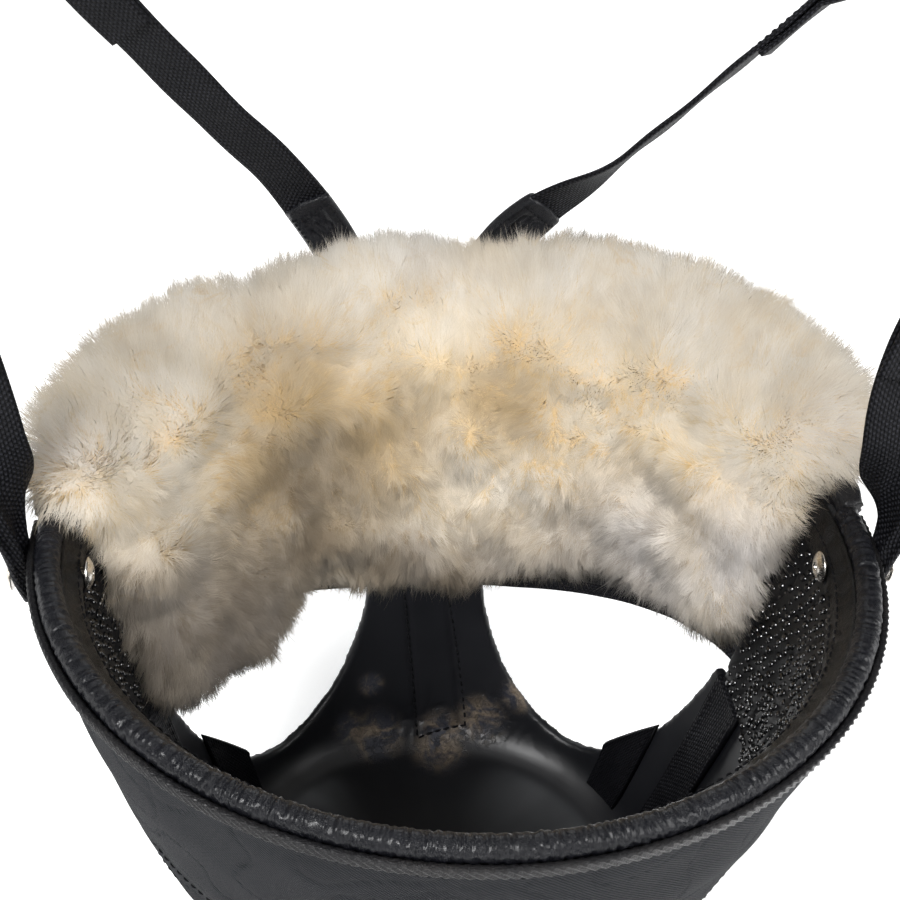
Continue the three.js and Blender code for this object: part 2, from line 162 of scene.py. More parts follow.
def sweep(name, rings, finish, body="root", closed=False, caps=True):
    """A closed skin through rings of points; its Surface UV is in millimetres along and around."""
    n, m = rings.shape[:2]
    along = travelled(rings.mean(1))
    lap = np.concatenate([rings, rings[:, :1]], 1)
    steps = np.linalg.norm(np.diff(lap, axis=1), axis=2)
    around = np.concatenate([np.zeros((n, 1)), np.cumsum(steps, 1)], 1)
    if closed:
        step = np.linalg.norm(rings[0].mean(0) - rings[-1].mean(0))
        along = np.append(along, along[-1] + step)
        around = np.concatenate([around, around[:1]])
    rows = n if closed else n - 1
    i, j = np.meshgrid(np.arange(rows), np.arange(m), indexing="ij")
    i, j = i.ravel(), j.ravel()
    i1, j1 = (i + 1) % n, (j + 1) % m
    quads = np.stack([i * m + j, i * m + j1, i1 * m + j1, i1 * m + j], 1)
    corner_i, corner_j = np.stack([i, i, i + 1, i + 1], 1), np.stack([j, j + 1, j + 1, j], 1)
    surface = np.stack([along[corner_i], around[corner_i, corner_j]], -1)
    bake = np.stack([corner_i / rows * 0.94 + 0.03, corner_j / m * 0.94 + 0.03], -1)
    points = rings.reshape(-1, 3)
    a, b, c, d = (points[quads[:, k]] for k in range(4))
    volume = (np.einsum("ij,ij->i", a, np.cross(b, c)).sum()
              + np.einsum("ij,ij->i", a, np.cross(c, d)).sum())
    faces, surface, bake = [quads], [surface.reshape(-1, 2)], [bake.reshape(-1, 2)]
    if caps and not closed:
        for ring, side in ((np.arange(m)[::-1], 0.01), ((n - 1) * m + np.arange(m), 0.99)):
            faces.append(ring[None])
            local = np.linspace(0, 1, m)
            surface.append(np.stack([np.zeros(m), local], 1))
            bake.append(np.stack([np.full(m, side) + 0.005 * np.sin(2 * np.pi * local), local], 1))
    if volume < 0:
        faces = [f[:, ::-1] for f in faces]
        surface, bake = ([uv.reshape(*f.shape, 2)[:, ::-1].reshape(-1, 2) for uv, f in zip(layer, faces)]
                         for layer in (surface, bake))
    return mesh_piece(name, points, faces, np.concatenate(surface), np.concatenate(bake), finish, body)


def scatter(name, template, template_faces, origins, axes, finish, body="root"):
    """Copies of a small shape at many places; axes holds each copy's X, Y and Z directions, scaled."""
    count, k = len(origins), len(template)
    points = origins[:, None] + np.einsum("tc,ncd->ntd", template, axes)
    faces = [(f[None] + np.arange(count)[:, None, None] * k).reshape(-1, f.shape[1]) for f in template_faces]
    low, high = template.min(0), template.max(0)
    local = ((template - low) / np.maximum(high - low, 1e-6))[:, :2]
    side = math.ceil(math.sqrt(count))
    cell = np.stack([np.arange(count) % side, np.arange(count) // side], 1)
    bake = ((cell[:, None] + 0.1 + 0.8 * local[None]) / side).reshape(-1, 2)
    surface = np.tile(template[:, :2], (count, 1))
    corners = np.concatenate([f.ravel() for f in faces])
    return mesh_piece(name, points.reshape(-1, 3), faces, surface[corners], bake[corners], finish, body)


def slab(degrees, low, high, inner, outer, edge=0.7, rows=14):
    """Rings of a band that follows the wall: heights, offsets, and which side each point of a ring is on."""
    n = len(degrees)
    low, high = np.broadcast_to(low, n)[:, None], np.broadcast_to(high, n)[:, None]
    edge = min(edge, (outer - inner) / 2 * 0.98)
    t = np.linspace(0, 1, rows + 1)
    bend = np.radians([22.5, 45, 67.5])
    sin, cos = np.sin(bend), np.cos(bend)
    pull = edge * (1 - cos)
    parts = [
        (t, np.full_like(t, outer), 0 * t, 1),
        (1 + 0 * bend, outer - pull, sin, 0),
        (np.ones(2), np.array([outer - edge, inner + edge]), np.ones(2), 0),
        (1 + 0 * bend, inner + pull[::-1], cos, 0),
        (t[::-1], np.full_like(t, inner), 0 * t, -1),
        (0 * bend, inner + pull, -sin, 0),
        (np.zeros(2), np.array([inner + edge, outer - edge]), -np.ones(2), 0),
        (0 * bend, outer - pull[::-1], -cos, 0),
    ]
    share, offset, rise = (np.concatenate([p[k] for p in parts]) for k in range(3))
    side = np.concatenate([np.full(len(p[0]), p[3]) for p in parts])
    z = low + edge + share * (high - low - 2 * edge) + rise * edge
    return z, np.broadcast_to(offset, z.shape), side


def wall_band(name, degrees, low, high, inner, outer, finish, relief=None, edge=0.7, rows=14, **options):
    """relief(u, z, side) lifts the skin off its plain place, away from the band's middle."""
    z, offset, side = slab(degrees, low, high, inner, outer, edge, rows)
    u = np.broadcast_to(np.radians(degrees)[:, None] * WALL_PER_RADIAN, z.shape)
    if relief is not None:
        lift = relief(u, z, side)
        offset = offset + np.where(side == 0, np.sign(offset - (inner + outer) / 2) * 0.5, side) * lift
    return sweep(name, wall(degrees[:, None], z, offset), finish, **options)


def resample(path, step):
    distance = travelled(path)
    count = max(int(round(distance[-1] / step)), 2)
    return follow(path, distance, np.linspace(0, distance[-1], count + 1))


def catmull(points, step=1.0):
    """A centripetal Catmull-Rom curve through points, sampled evenly."""
    points = np.asarray(points, float)
    padded = np.vstack([2 * points[0] - points[1], points, 2 * points[-1] - points[-2]])
    out = []
    for p0, p1, p2, p3 in zip(padded, padded[1:], padded[2:], padded[3:]):
        d0, d1, d2 = (max(np.linalg.norm(b - a), 1e-4) ** 0.5
                      for a, b in ((p0, p1), (p1, p2), (p2, p3)))
        t1 = ((p1 - p0) / d0 - (p2 - p0) / (d0 + d1) + (p2 - p1) / d1) * d1
        t2 = ((p2 - p1) / d1 - (p3 - p1) / (d1 + d2) + (p3 - p2) / d2) * d1
        t = np.linspace(0, 1, 24, endpoint=False)[:, None]
        out.append((2 * t**3 - 3 * t**2 + 1) * p1 + (t**3 - 2 * t**2 + t) * t1
                   + (-2 * t**3 + 3 * t**2) * p2 + (t**3 - t**2) * t2)
    return resample(np.vstack([*out, points[-1:]]), step)


def tube(name, path, radius, sides=16, closed=False, **options):
    """A round steel bar along a path; radius may vary along it."""
    tangent = unit(np.roll(path, -1, 0) - np.roll(path, 1, 0) if closed else np.gradient(path, axis=0))
    normal = np.zeros_like(path)
    normal[0] = unit(np.cross(tangent[0], [0.3, 0.2, 1.0] if abs(tangent[0][2]) < 0.9 else [1.0, 0, 0]))
    for k in range(1, len(path)):
        normal[k] = unit(normal[k - 1] - tangent[k] * (normal[k - 1] @ tangent[k]))
    binormal = np.cross(tangent, normal)
    turn = np.linspace(0, 2 * np.pi, sides, endpoint=False)
    radius = np.broadcast_to(radius, len(path))[:, None, None]
    rings = path[:, None] + radius * (np.cos(turn)[None, :, None] * normal[:, None]
                                      + np.sin(turn)[None, :, None] * binormal[:, None])
    return sweep(name, rings, STEEL, closed=closed, **options)


CAPSULE_SIDES, CAPSULE_RINGS, STITCH_LENGTH = 6, 5, 2.4


def capsule(radius):
    """A thread's visible stitch along X, its ends dipping to points."""
    x = np.linspace(-0.5, 0.5, CAPSULE_RINGS) * STITCH_LENGTH
    swell = radius * np.array([0.35, 0.9, 1.0, 0.9, 0.35])
    dip = -radius * np.array([0.9, 0.1, 0, 0.1, 0.9])
    turn = np.linspace(0, 2 * np.pi, CAPSULE_SIDES, endpoint=False)
    points = np.stack([np.repeat(x, CAPSULE_SIDES), np.outer(swell, np.cos(turn)).ravel(),
                       np.outer(swell, np.sin(turn)).ravel() + np.repeat(dip, CAPSULE_SIDES)], 1)
    i, j = np.meshgrid(np.arange(CAPSULE_RINGS - 1) * CAPSULE_SIDES, np.arange(CAPSULE_SIDES), indexing="ij")
    i, j, j1 = i.ravel(), j.ravel(), (j.ravel() + 1) % CAPSULE_SIDES
    quads = np.stack([i + j, i + CAPSULE_SIDES + j, i + CAPSULE_SIDES + j1, i + j1], 1)
    first = np.arange(CAPSULE_SIDES)
    ends = np.stack([first, (CAPSULE_RINGS - 1) * CAPSULE_SIDES + first[::-1]])
    return points, [quads, ends]


def stitch_line(path, normals, pitch=3.4, length=STITCH_LENGTH):
    """Places and axes for stitches along a path lying on a surface with the given normals."""
    distance = travelled(path)
    at = np.arange(pitch / 2, distance[-1], pitch)
    origin, ahead = (follow(path, distance, at + step) for step in (0, 0.5))
    normal = unit(follow(normals, distance, at))
    along = unit(ahead - origin + 1e-6)
    across = unit(np.cross(normal, along))
    along = unit(along + across * (0.06 + 0.05 * RNG.standard_normal((len(at), 1))))
    across = np.cross(normal, along)
    return origin, np.stack([along * (length / STITCH_LENGTH), across, normal], 1)


def stitches(name, lines, radius):
    template, faces = capsule(radius)
    origins, axes = (np.concatenate(parts) for parts in zip(*lines))
    return scatter(name, template, faces, origins, axes, THREAD)


# ------------------------------------------------------------------ materials
class Finish:
    """A procedural material; each call adds a node and gives its output."""

    def __init__(self, name, slot):
        self.material = bpy.data.materials.new(name)
        self.material.use_nodes = True
        self.tree = self.material.node_tree
        self.shader = self.tree.nodes["Principled BSDF"]
        self.slot = slot

    def add(self, kind, inputs=(), output=0, **settings):
        node = self.tree.nodes.new("ShaderNode" + kind)
        for key, value in settings.items():
            setattr(node, key, value)
        self.feed(node, inputs)
        return node.outputs[output]

    def feed(self, node, inputs):
        for key, value in dict(inputs).items():
            if isinstance(value, bpy.types.NodeSocket):
                self.tree.links.new(value, node.inputs[key])
            elif value is not None:
                node.inputs[key].default_value = value

    def place(self):
        return self.add("TexCoord", output=3)

    def axis(self, vector, index):
        """One of a vector's three numbers."""
        return self.add("SeparateXYZ", {0: vector}, output=index)

    def uv(self):
        layer = self.add("UVMap", uv_map="Surface")
        return self.axis(layer, 0), self.axis(layer, 1)

    def height(self):
        return self.axis(self.place(), 2)

    def math(self, operation, a, b=0.0):
        return self.add("Math", {0: a, 1: b}, operation=operation)

    def times(self, a, b):
        return self.math("MULTIPLY", a, b)

    def wave(self, value, period, shift=0.0):
        """A sine of value from 0 to 1."""
        turns = self.math("ADD", self.math("DIVIDE", value, period), shift)
        angle = self.times(turns, 2 * math.pi)
        return self.add("Math", {0: self.math("SINE", angle), 1: 0.5, 2: 0.5}, operation="MULTIPLY_ADD")

    def noise(self, scale, detail=3.0, roughness=0.55, distortion=0.0):
        return self.add("TexNoise", {"Vector": self.place(), "Scale": scale, "Detail": detail,
                                     "Roughness": roughness, "Distortion": distortion})

    def cells(self, scale, feature="DISTANCE_TO_EDGE"):
        return self.add("TexVoronoi", {"Vector": self.place(), "Scale": scale}, feature=feature)

    def clamp(self, value, low, high):
        """A smooth step from 0 at low to 1 at high."""
        return self.add("MapRange", {0: value, 1: low, 2: high, 3: 0.0, 4: 1.0},
                        interpolation_type="SMOOTHSTEP")

    def between(self, value, low, high):
        """Turns 0 to 1 into low to high."""
        return self.add("MapRange", {0: value, 1: 0.0, 2: 1.0, 3: low, 4: high})

    def mix(self, share, a, b):
        a, b = ((*c, 1.0) if isinstance(c, tuple) and len(c) == 3 else c for c in (a, b))
        return self.add("Mix", {0: share, 6: a, 7: b}, output=2, data_type="RGBA")

    def blob(self, centre, radius):
        """1 near a place on the object, given in millimetres about the base, falling to 0 at radius."""
        centre = Vector(to_frame(np.array(centre)))
        away = self.add("VectorMath", {0: self.place(), 1: centre}, output=1, operation="DISTANCE")
        fall = self.math("SUBTRACT", 1.0, self.math("DIVIDE", away, radius / 1000))
        return self.clamp(fall, 0.0, 1.0)

    def blobs(self, *places):
        """The strongest of several blobs at each point."""
        found = 0.0
        for centre, radius in places:
            found = self.math("MAXIMUM", found, self.blob(centre, radius))
        return found

    def bump(self, height, millimetres):
        return self.add("Bump", {"Height": height, "Distance": millimetres / 1000, "Strength": 1.0})

    def surface(self, colour, roughness, normal=None, **constants):
        if isinstance(colour, tuple):
            colour = (*colour, 1.0)
        self.feed(self.shader, {"Base Color": colour, "Roughness": roughness, "Normal": normal})
        for key, value in constants.items():
            self.shader.inputs[key.replace("_", " ")].default_value = value
        return self


def webbing_finish():
    f = Finish("webbing", "webbing")
    across, along = 1.05, 1.7       # yarn spacing in millimetres
    # The light colour is a painted highlight for the tops of the yarns.
    base, light = (0.001, 0.001, 0.0017), (0.026, 0.027, 0.034)
    x, y = f.uv()
    column = f.math("FLOOR", f.math("DIVIDE", y, across))
    yarn = f.math("ABSOLUTE", f.math("SINE", f.times(y, math.pi / across)))
    pick = f.wave(x, along, f.times(column, 0.5))
    weave = f.times(f.math("POWER", yarn, 0.6), f.between(pick, 0.25, 1.0))
    fuzz = f.noise(2600.0, 4, 0.7)
    yarn_highlight = f.times(weave, f.between(f.noise(90.0, 3), 0.5, 1.3))
    # Painted highlight: the tops of the yarns are painted lighter, towards the light colour, than the
    # near-black between them.
    colour = f.mix(f.times(f.math("POWER", yarn_highlight, 2.2), f.between(fuzz, 0.2, 1.2)), base, light)
    height = f.math("ADD", weave, f.times(fuzz, 0.35))
    return f.surface(colour, f.between(fuzz, 0.42, 0.62), f.bump(height, 0.45), Specular_IOR_Level=0.12)


def leather_finish(name, base=(0.005, 0.005, 0.006), worn=(0.02, 0.018, 0.017), gloss=0.34,
                   grain=1500.0, depth=0.16, coat=0.06):
    f = Finish(name, "leather")
    pebble = f.clamp(f.cells(grain), 0.0, 0.25)
    cloudy = f.noise(60.0, 4, 0.6)
    wrinkle = f.noise(420.0, 5, 0.65, distortion=0.6)
    height = f.math("ADD", f.times(pebble, 0.6), wrinkle)
    colour = f.mix(f.times(f.clamp(cloudy, 0.35, 0.8), pebble), base, worn)
    rough = f.math("ADD", f.between(f.noise(200.0, 3), gloss - 0.08, gloss + 0.12),
                   f.times(f.math("SUBTRACT", 1.0, pebble), 0.15))
    return f.surface(colour, rough, f.bump(height, depth), Coat_Weight=coat, Coat_Roughness=0.2,
                     Specular_IOR_Level=0.22)


def rubber_finish():
    f = Finish("rubber", "rubber")
    fine, folds = f.noise(900.0, 5, 0.6), f.noise(330.0, 5, 0.6, distortion=0.5)
    creases = f.clamp(f.math("ABSOLUTE", f.math("SUBTRACT", folds, 0.5)), 0.0, 0.05)
    # Patches low on the inside of the bridge and front, partly real scuff marks and partly painted sheen: a
    # lighter golden and bluish colour in creased patches stands in for the satin rubber's highlights. The
    # outside mask is the faces' normal towards +Y, and keeps the patches off faces turned that way.
    worn = f.blobs(((-17, 60, 7), 17), ((-27, 60, 12), 10), ((8, 61, 6), 15), ((22, 62, 13), 15),
                   ((35, 62, 25), 11), ((-19, 68, 26), 8), ((6, 54, 4), 16))
    outside = f.clamp(f.axis(f.add("TexCoord", output=1), 1), -0.1, 0.3)
    worn = f.times(worn, f.math("SUBTRACT", 1.0, outside))
    patchy_scuffs_and_sheen = f.times(f.clamp(worn, 0.1, 1.0), f.between(f.noise(700.0, 6, 0.8), -0.1, 1.3))
    scuffs_and_sheen = f.times(patchy_scuffs_and_sheen, f.between(creases, 0.6, 1.0))
    scuff_and_sheen_hue = f.mix(f.clamp(f.noise(120.0, 4, 0.6, distortion=0.8), 0.4, 0.6), (0.045, 0.048, 0.064),
                (0.25, 0.195, 0.14))
    colour = f.mix(f.clamp(f.noise(24.0, 3), 0.35, 0.8), (0.004, 0.0043, 0.0058), (0.009, 0.0093, 0.0115))
    # Scuff marks and painted sheen mixed over the plain rubber colour.
    colour = f.mix(scuffs_and_sheen, colour, scuff_and_sheen_hue)
    rough = f.between(f.noise(60.0, 3), 0.34, 0.46)
    wrinkled = f.times(creases, f.between(worn, 0.02, 1.0))
    height = f.math("ADD", f.times(fine, 0.08), wrinkled)
    return f.surface(colour, rough, f.bump(height, 0.17), Specular_IOR_Level=0.4)


def twill_finish():
    f = Finish("twill", "twill")
    x, y = f.uv()
    rib = f.wave(f.math("ADD", x, y), 1.15)
    yarn = f.wave(f.math("SUBTRACT", y, x), 0.75)
    weave = f.times(f.math("POWER", rib, 0.7), f.between(yarn, 0.55, 1.0))
    fuzz = f.noise(2200.0, 4, 0.7)
    colour = f.mix(f.times(weave, f.between(f.noise(35.0, 3), 0.5, 1.2)), (0.003, 0.0033, 0.0045),
                   (0.016, 0.018, 0.022))
    height = f.math("ADD", weave, f.times(fuzz, 0.3))
    return f.surface(colour, f.between(fuzz, 0.6, 0.9), f.bump(height, 0.28), Specular_IOR_Level=0.12)


def lining_finish(name, base, light, rough, depth, shine):
    f = Finish(name, "lining")
    grain = f.noise(1500.0, 4, 0.6)
    colour = f.mix(f.clamp(f.noise(70.0, 4), 0.35, 0.75), base, light)
    return f.surface(colour, f.between(grain, rough - 0.07, rough + 0.1), f.bump(grain, depth),
                     Specular_IOR_Level=shine)


def steel_finish():
    f = Finish("steel", "steel")
    streak = f.noise(700.0, 5, 0.7, distortion=2.0)
    smudge = f.noise(160.0, 4)
    colour = f.mix(f.clamp(smudge, 0.3, 0.75), (0.62, 0.57, 0.5), (0.8, 0.77, 0.72))
    return f.surface(colour, f.between(streak, 0.14, 0.36), f.bump(streak, 0.03), Metallic=1.0)


def thread_finish():
    f = Finish("thread", "webbing")
    x, y = f.uv()
    twist = f.wave(f.math("ADD", x, y), 0.5)
    colour = f.mix(twist, (0.002, 0.002, 0.0025), (0.012, 0.012, 0.014))
    return f.surface(colour, f.between(twist, 0.6, 0.8), f.bump(twist, 0.06), Specular_IOR_Level=0.08)


def wool_colour(f, tip):
    """Ivory wool with golden, tan and grey areas, painted shade in the groove, at the lower left and low in
    front, a painted shade that greys the top, and deeper roots; tip runs from 0 at the root to 1.
    """
    def area(*places):
        return f.times(f.blobs(*places), patch)

    patch = f.between(f.noise(55.0, 4, 0.6, distortion=0.4), 0.5, 1.5)
    tan = area(((-48, 72, 150), 46), ((-24, 80, 133), 44), ((-60, 60, 136), 38), ((20, 78, 146), 32))
    # Painted shade: the next three areas darken the wool where shade falls: along the groove left of the
    # front and low under it, at the lower left end, and low in front to the right.
    valley_shade = area(((-40, 64, 122), 34), ((-39, 58, 100), 44), ((-60, 42, 100), 46), ((-18, 66, 84), 30),
                 ((6, 66, 74), 24))
    lower_left_shade = area(((-88, 8, 108), 60), ((-72, 24, 78), 60), ((-58, 42, 80), 33))
    low_front_shade = area(((25, 72, 84), 36), ((48, 58, 88), 34), ((-4, 70, 84), 24))
    grey = area(((66, 44, 104), 50), ((84, 14, 130), 42), ((98, 6, 192), 38), ((-100, 10, 186), 34),
                ((0, 98, 200), 32))
    veins = f.math("ABSOLUTE", f.math("SUBTRACT", f.noise(58.0, 5, 0.6, distortion=1.2), 0.5))
    veins = f.times(f.math("SUBTRACT", 1.0, f.clamp(veins, 0.0, 0.035)),
                   f.clamp(f.noise(38.0, 3), 0.42, 0.62))
    tip_colour = f.mix(f.clamp(f.noise(32.0, 4, 0.6), 0.3, 0.7), (0.635, 0.54, 0.4),
                       (0.72, 0.665, 0.575))
    root_colour = f.mix(f.clamp(f.noise(60.0, 3), 0.4, 0.62), (0.62, 0.49, 0.3), (0.64, 0.43, 0.17))
    # Each area's tip and root colours; those of the groove, the lower left end and the low front are painted
    # shade.
    for share, high, low in ((tan, (0.4, 0.3, 0.17), (0.45, 0.31, 0.14)),
                             (grey, (0.6, 0.57, 0.545), (0.42, 0.385, 0.355)),
                             (low_front_shade, (0.49, 0.445, 0.39), (0.39, 0.335, 0.27)),
                             (valley_shade, (0.2, 0.16, 0.112), (0.14, 0.105, 0.068)),
                             (lower_left_shade, (0.225, 0.2, 0.175), (0.14, 0.12, 0.102))):
        tip_colour, root_colour = f.mix(share, tip_colour, high), f.mix(share, root_colour, low)
    tip_colour = f.mix(f.times(veins, 0.7), tip_colour, root_colour)
    # Painted shade: the top of the fleece is mixed towards a dark grey, more strongly higher up and less near
    # the left end.
    top_shade = f.times(f.clamp(f.height(), 0.146, 0.186),
                   f.between(f.blob((-106, 6, 178), 62), 0.45, 0.05))
    return f.mix(top_shade, f.mix(tip, root_colour, tip_colour), (0.21, 0.205, 0.2))


def wool_finish():
    f = Finish("wool_underlayer", "fleece")
    lumps = f.noise(420.0, 5, 0.7)
    return f.surface(wool_colour(f, f.between(lumps, 0.1, 0.7)), 0.95, f.bump(lumps, 1.0),
                     Sheen_Weight=0.2, Sheen_Roughness=0.5)


def hair_finish():
    f = Finish("wool_fibre", "fleece")
    shade, along = f.uv()
    colour = wool_colour(f, f.clamp(along, 0.0, 0.55))
    # Painted shade: each blade, and each lock as a whole, is darkened at random towards a dark tan, more
    # strongly lower on the fleece.
    depth = f.between(f.clamp(f.height(), 0.11, 0.17), 0.6, 0.26)
    colour = f.mix(f.times(shade, depth), colour, (0.1, 0.073, 0.045))
    return f.surface(colour, 0.7, None, Sheen_Weight=0.06, Specular_IOR_Level=0.1)


def foam_finish():
    f = Finish("foam", "foam")
    cells = f.cells(1800.0, "F1")
    colour = f.mix(cells, (0.006, 0.006, 0.0065), (0.016, 0.016, 0.017))
    return f.surface(colour, 0.9, f.bump(cells, 0.2))


def hide_finish():
    f = Finish("suede", "hide")
    nap = f.noise(1300.0, 5, 0.7)
    colour = f.mix(f.clamp(f.noise(40.0, 4), 0.3, 0.7), (0.56, 0.48, 0.37), (0.7, 0.62, 0.5))
    return f.surface(f.mix(f.times(nap, 0.4), colour, (0.8, 0.74, 0.63)), 0.9, f.bump(nap, 0.25),
                     Sheen_Weight=0.3)


RUBBER = rubber_finish()
WEB = webbing_finish()
TWILL = twill_finish()
LEATHER = leather_finish("leather")
PIPING = leather_finish("piping_leather", base=(0.003, 0.0033, 0.005), worn=(0.007, 0.0075, 0.011),
                        gloss=0.24, grain=2600.0, depth=0.12, coat=0.16)
FACING = leather_finish("facing_leather", base=(0.003, 0.0028, 0.0027), worn=(0.016, 0.0135, 0.012),
                        gloss=0.36)
LINING = lining_finish("lining_cloth", (0.003, 0.0031, 0.0035), (0.007, 0.0072, 0.008), 0.42, 0.12, 0.2)
PIMPLE = lining_finish("lining_pimple", (0.004, 0.0041, 0.0046), (0.008, 0.0082, 0.009), 0.16, 0.03, 1.0)
STEEL = steel_finish()
THREAD = thread_finish()
WOOL = wool_finish()
FIBRE = hair_finish()
FOAM = foam_finish()
HIDE = hide_finish()


# ------------------------------------------------------------------ solids by remeshing
def scratch(name, points, faces):
    """A helper object whose faces all point outwards."""
    mesh = bpy.data.meshes.new(name)
    mesh.from_pydata([tuple(p) for p in to_frame(points)], [], faces)
    mesh.update()
    bm = bmesh.new()
    bm.from_mesh(mesh)
    bmesh.ops.recalc_face_normals(bm, faces=bm.faces)
    bm.to_mesh(mesh)
    bm.free()
    return link_object(name, mesh)


def loft_faces(n, m):
    """Faces joining n rings of m points, with both ends closed."""
    faces = [(i * m + j, i * m + (j + 1) % m, (i + 1) * m + (j + 1) % m, (i + 1) * m + j)
             for i in range(n - 1) for j in range(m)]
    return faces + [tuple(range(m))[::-1], tuple((n - 1) * m + j for j in range(m))]


def applied(piece):
    """A new mesh: the piece's, with its modifiers applied."""
    depsgraph = bpy.context.evaluated_depsgraph_get()
    return bpy.data.meshes.new_from_object(piece.evaluated_get(depsgraph), depsgraph=depsgraph)


def evaluated(piece, scraps=()):
    """The piece's mesh with its modifiers applied; the scratch objects are removed."""
    bpy.context.view_layer.update()
    mesh = applied(piece)
    for scrap in (piece, *scraps):
        bpy.data.objects.remove(scrap, do_unlink=True)
    return mesh


def cut_by(piece, cutter):
    cut = piece.modifiers.new(cutter.name, "BOOLEAN")
    cut.object, cut.operation, cut.solver = cutter, "DIFFERENCE", "EXACT"


def outwardness(normal, angle):
    """How far normals point away from the muzzle's axis: 1 straight outwards, -1 straight inwards."""
    return normal[:, 0] * np.cos(np.radians(angle)) + normal[:, 1] * np.sin(np.radians(angle))


def vertices(mesh):
    """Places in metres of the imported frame."""
    out = np.zeros(len(mesh.vertices) * 3, np.float32)
    mesh.vertices.foreach_get("co", out)
    return out.reshape(-1, 3).astype(float)


def skin_of(mesh):
    """Places in millimetres about the base, and vertex normals."""
    normal = np.zeros(len(mesh.vertices) * 3, np.float32)
    mesh.vertex_normals.foreach_get("vector", normal)
    return vertices(mesh) * 1000 - CENTRE, normal.reshape(-1, 3).astype(float)


def chart(mesh):
    """UV layers for a remeshed shell round the muzzle's axis: outside, inside and level parts apart."""
    co = vertices(mesh) * 1000 - CENTRE
    loops = np.zeros(len(mesh.loops), np.int32)
    mesh.loops.foreach_get("vertex_index", loops)
    owner = np.repeat(np.arange(len(mesh.polygons)), [p.loop_total for p in mesh.polygons])
    middle, normal = np.zeros((2, len(mesh.polygons) * 3), np.float32)
    mesh.polygons.foreach_get("center", middle)
    mesh.polygons.foreach_get("normal", normal)
    middle, normal = middle.reshape(-1, 3) * 1000 - CENTRE, normal.reshape(-1, 3)
    turn = np.degrees(np.arctan2(middle[:, 1], middle[:, 0]))
    corner = co[loops]
    angle = np.degrees(np.arctan2(corner[:, 1], corner[:, 0]))
    angle = turn[owner] + (angle - turn[owner] + 180) % 360 - 180
    u, v = (angle + 180) / 360, (corner[:, 2] - co[:, 2].min()) / np.ptp(co[:, 2])
    outward = outwardness(normal, turn)[owner] > 0
    level = np.abs(normal[:, 2])[owner] > 0.75
    side_uv = np.stack([u, np.where(outward, 0.01 + 0.3 * v, 0.34 + 0.3 * v)], 1)
    radius = np.abs(co[:, :2]).max() * 2.1
    flat_uv = np.stack([0.25 + 0.5 * (normal[:, 2][owner] > 0) + corner[:, 0] / radius * 0.48,
                        0.83 + corner[:, 1] / radius * 0.32], 1)
    bake = np.where(level[:, None], flat_uv, side_uv)
    lay_uvs(mesh, np.stack([angle * 1.6, corner[:, 2]], 1), bake)
    mesh.polygons.foreach_set("use_smooth", np.ones(len(mesh.polygons), bool))


# ------------------------------------------------------------------ rubber base
RUBBER_TOP, FLOOR, RUBBER_WALL, FILLET = 80.0, 4.0, 3.5, 9.0
GRAZING_HOLE = 16.0
# (angle, height) ends of the three stitched lines on the inside of the bridge
BRIDGE_SEAMS = (((95.2, 62), (91.3, 6.3)), ((85.2, 62), (76.8, 10)), ((91.3, 6.3), (76.8, 10)))


def bezier(a, b, c, d, count=14):
    t = np.linspace(0, 1, count)[:, None]
    a, b, c, d = map(np.array, (a, b, c, d))
    return (1 - t) ** 3 * a + 3 * t * (1 - t) ** 2 * b + 3 * t * t * (1 - t) * c + t**3 * d


def nostril_outline():
    """(angle, height) round the right nostril opening, its top running out above the rubber."""
    return np.vstack([
        [[76.5, 88]], bezier((76.5, 62), (75, 46), (68, 24), (54, 17.5)),
        bezier((54, 17.5), (44, 13), (33, 18), (27, 30))[1:],
        bezier((27, 30), (21, 42), (15, 60), (13, 88))[1:],
        np.stack([np.linspace(20, 70, 9), np.full(9, 88.0)], 1)])


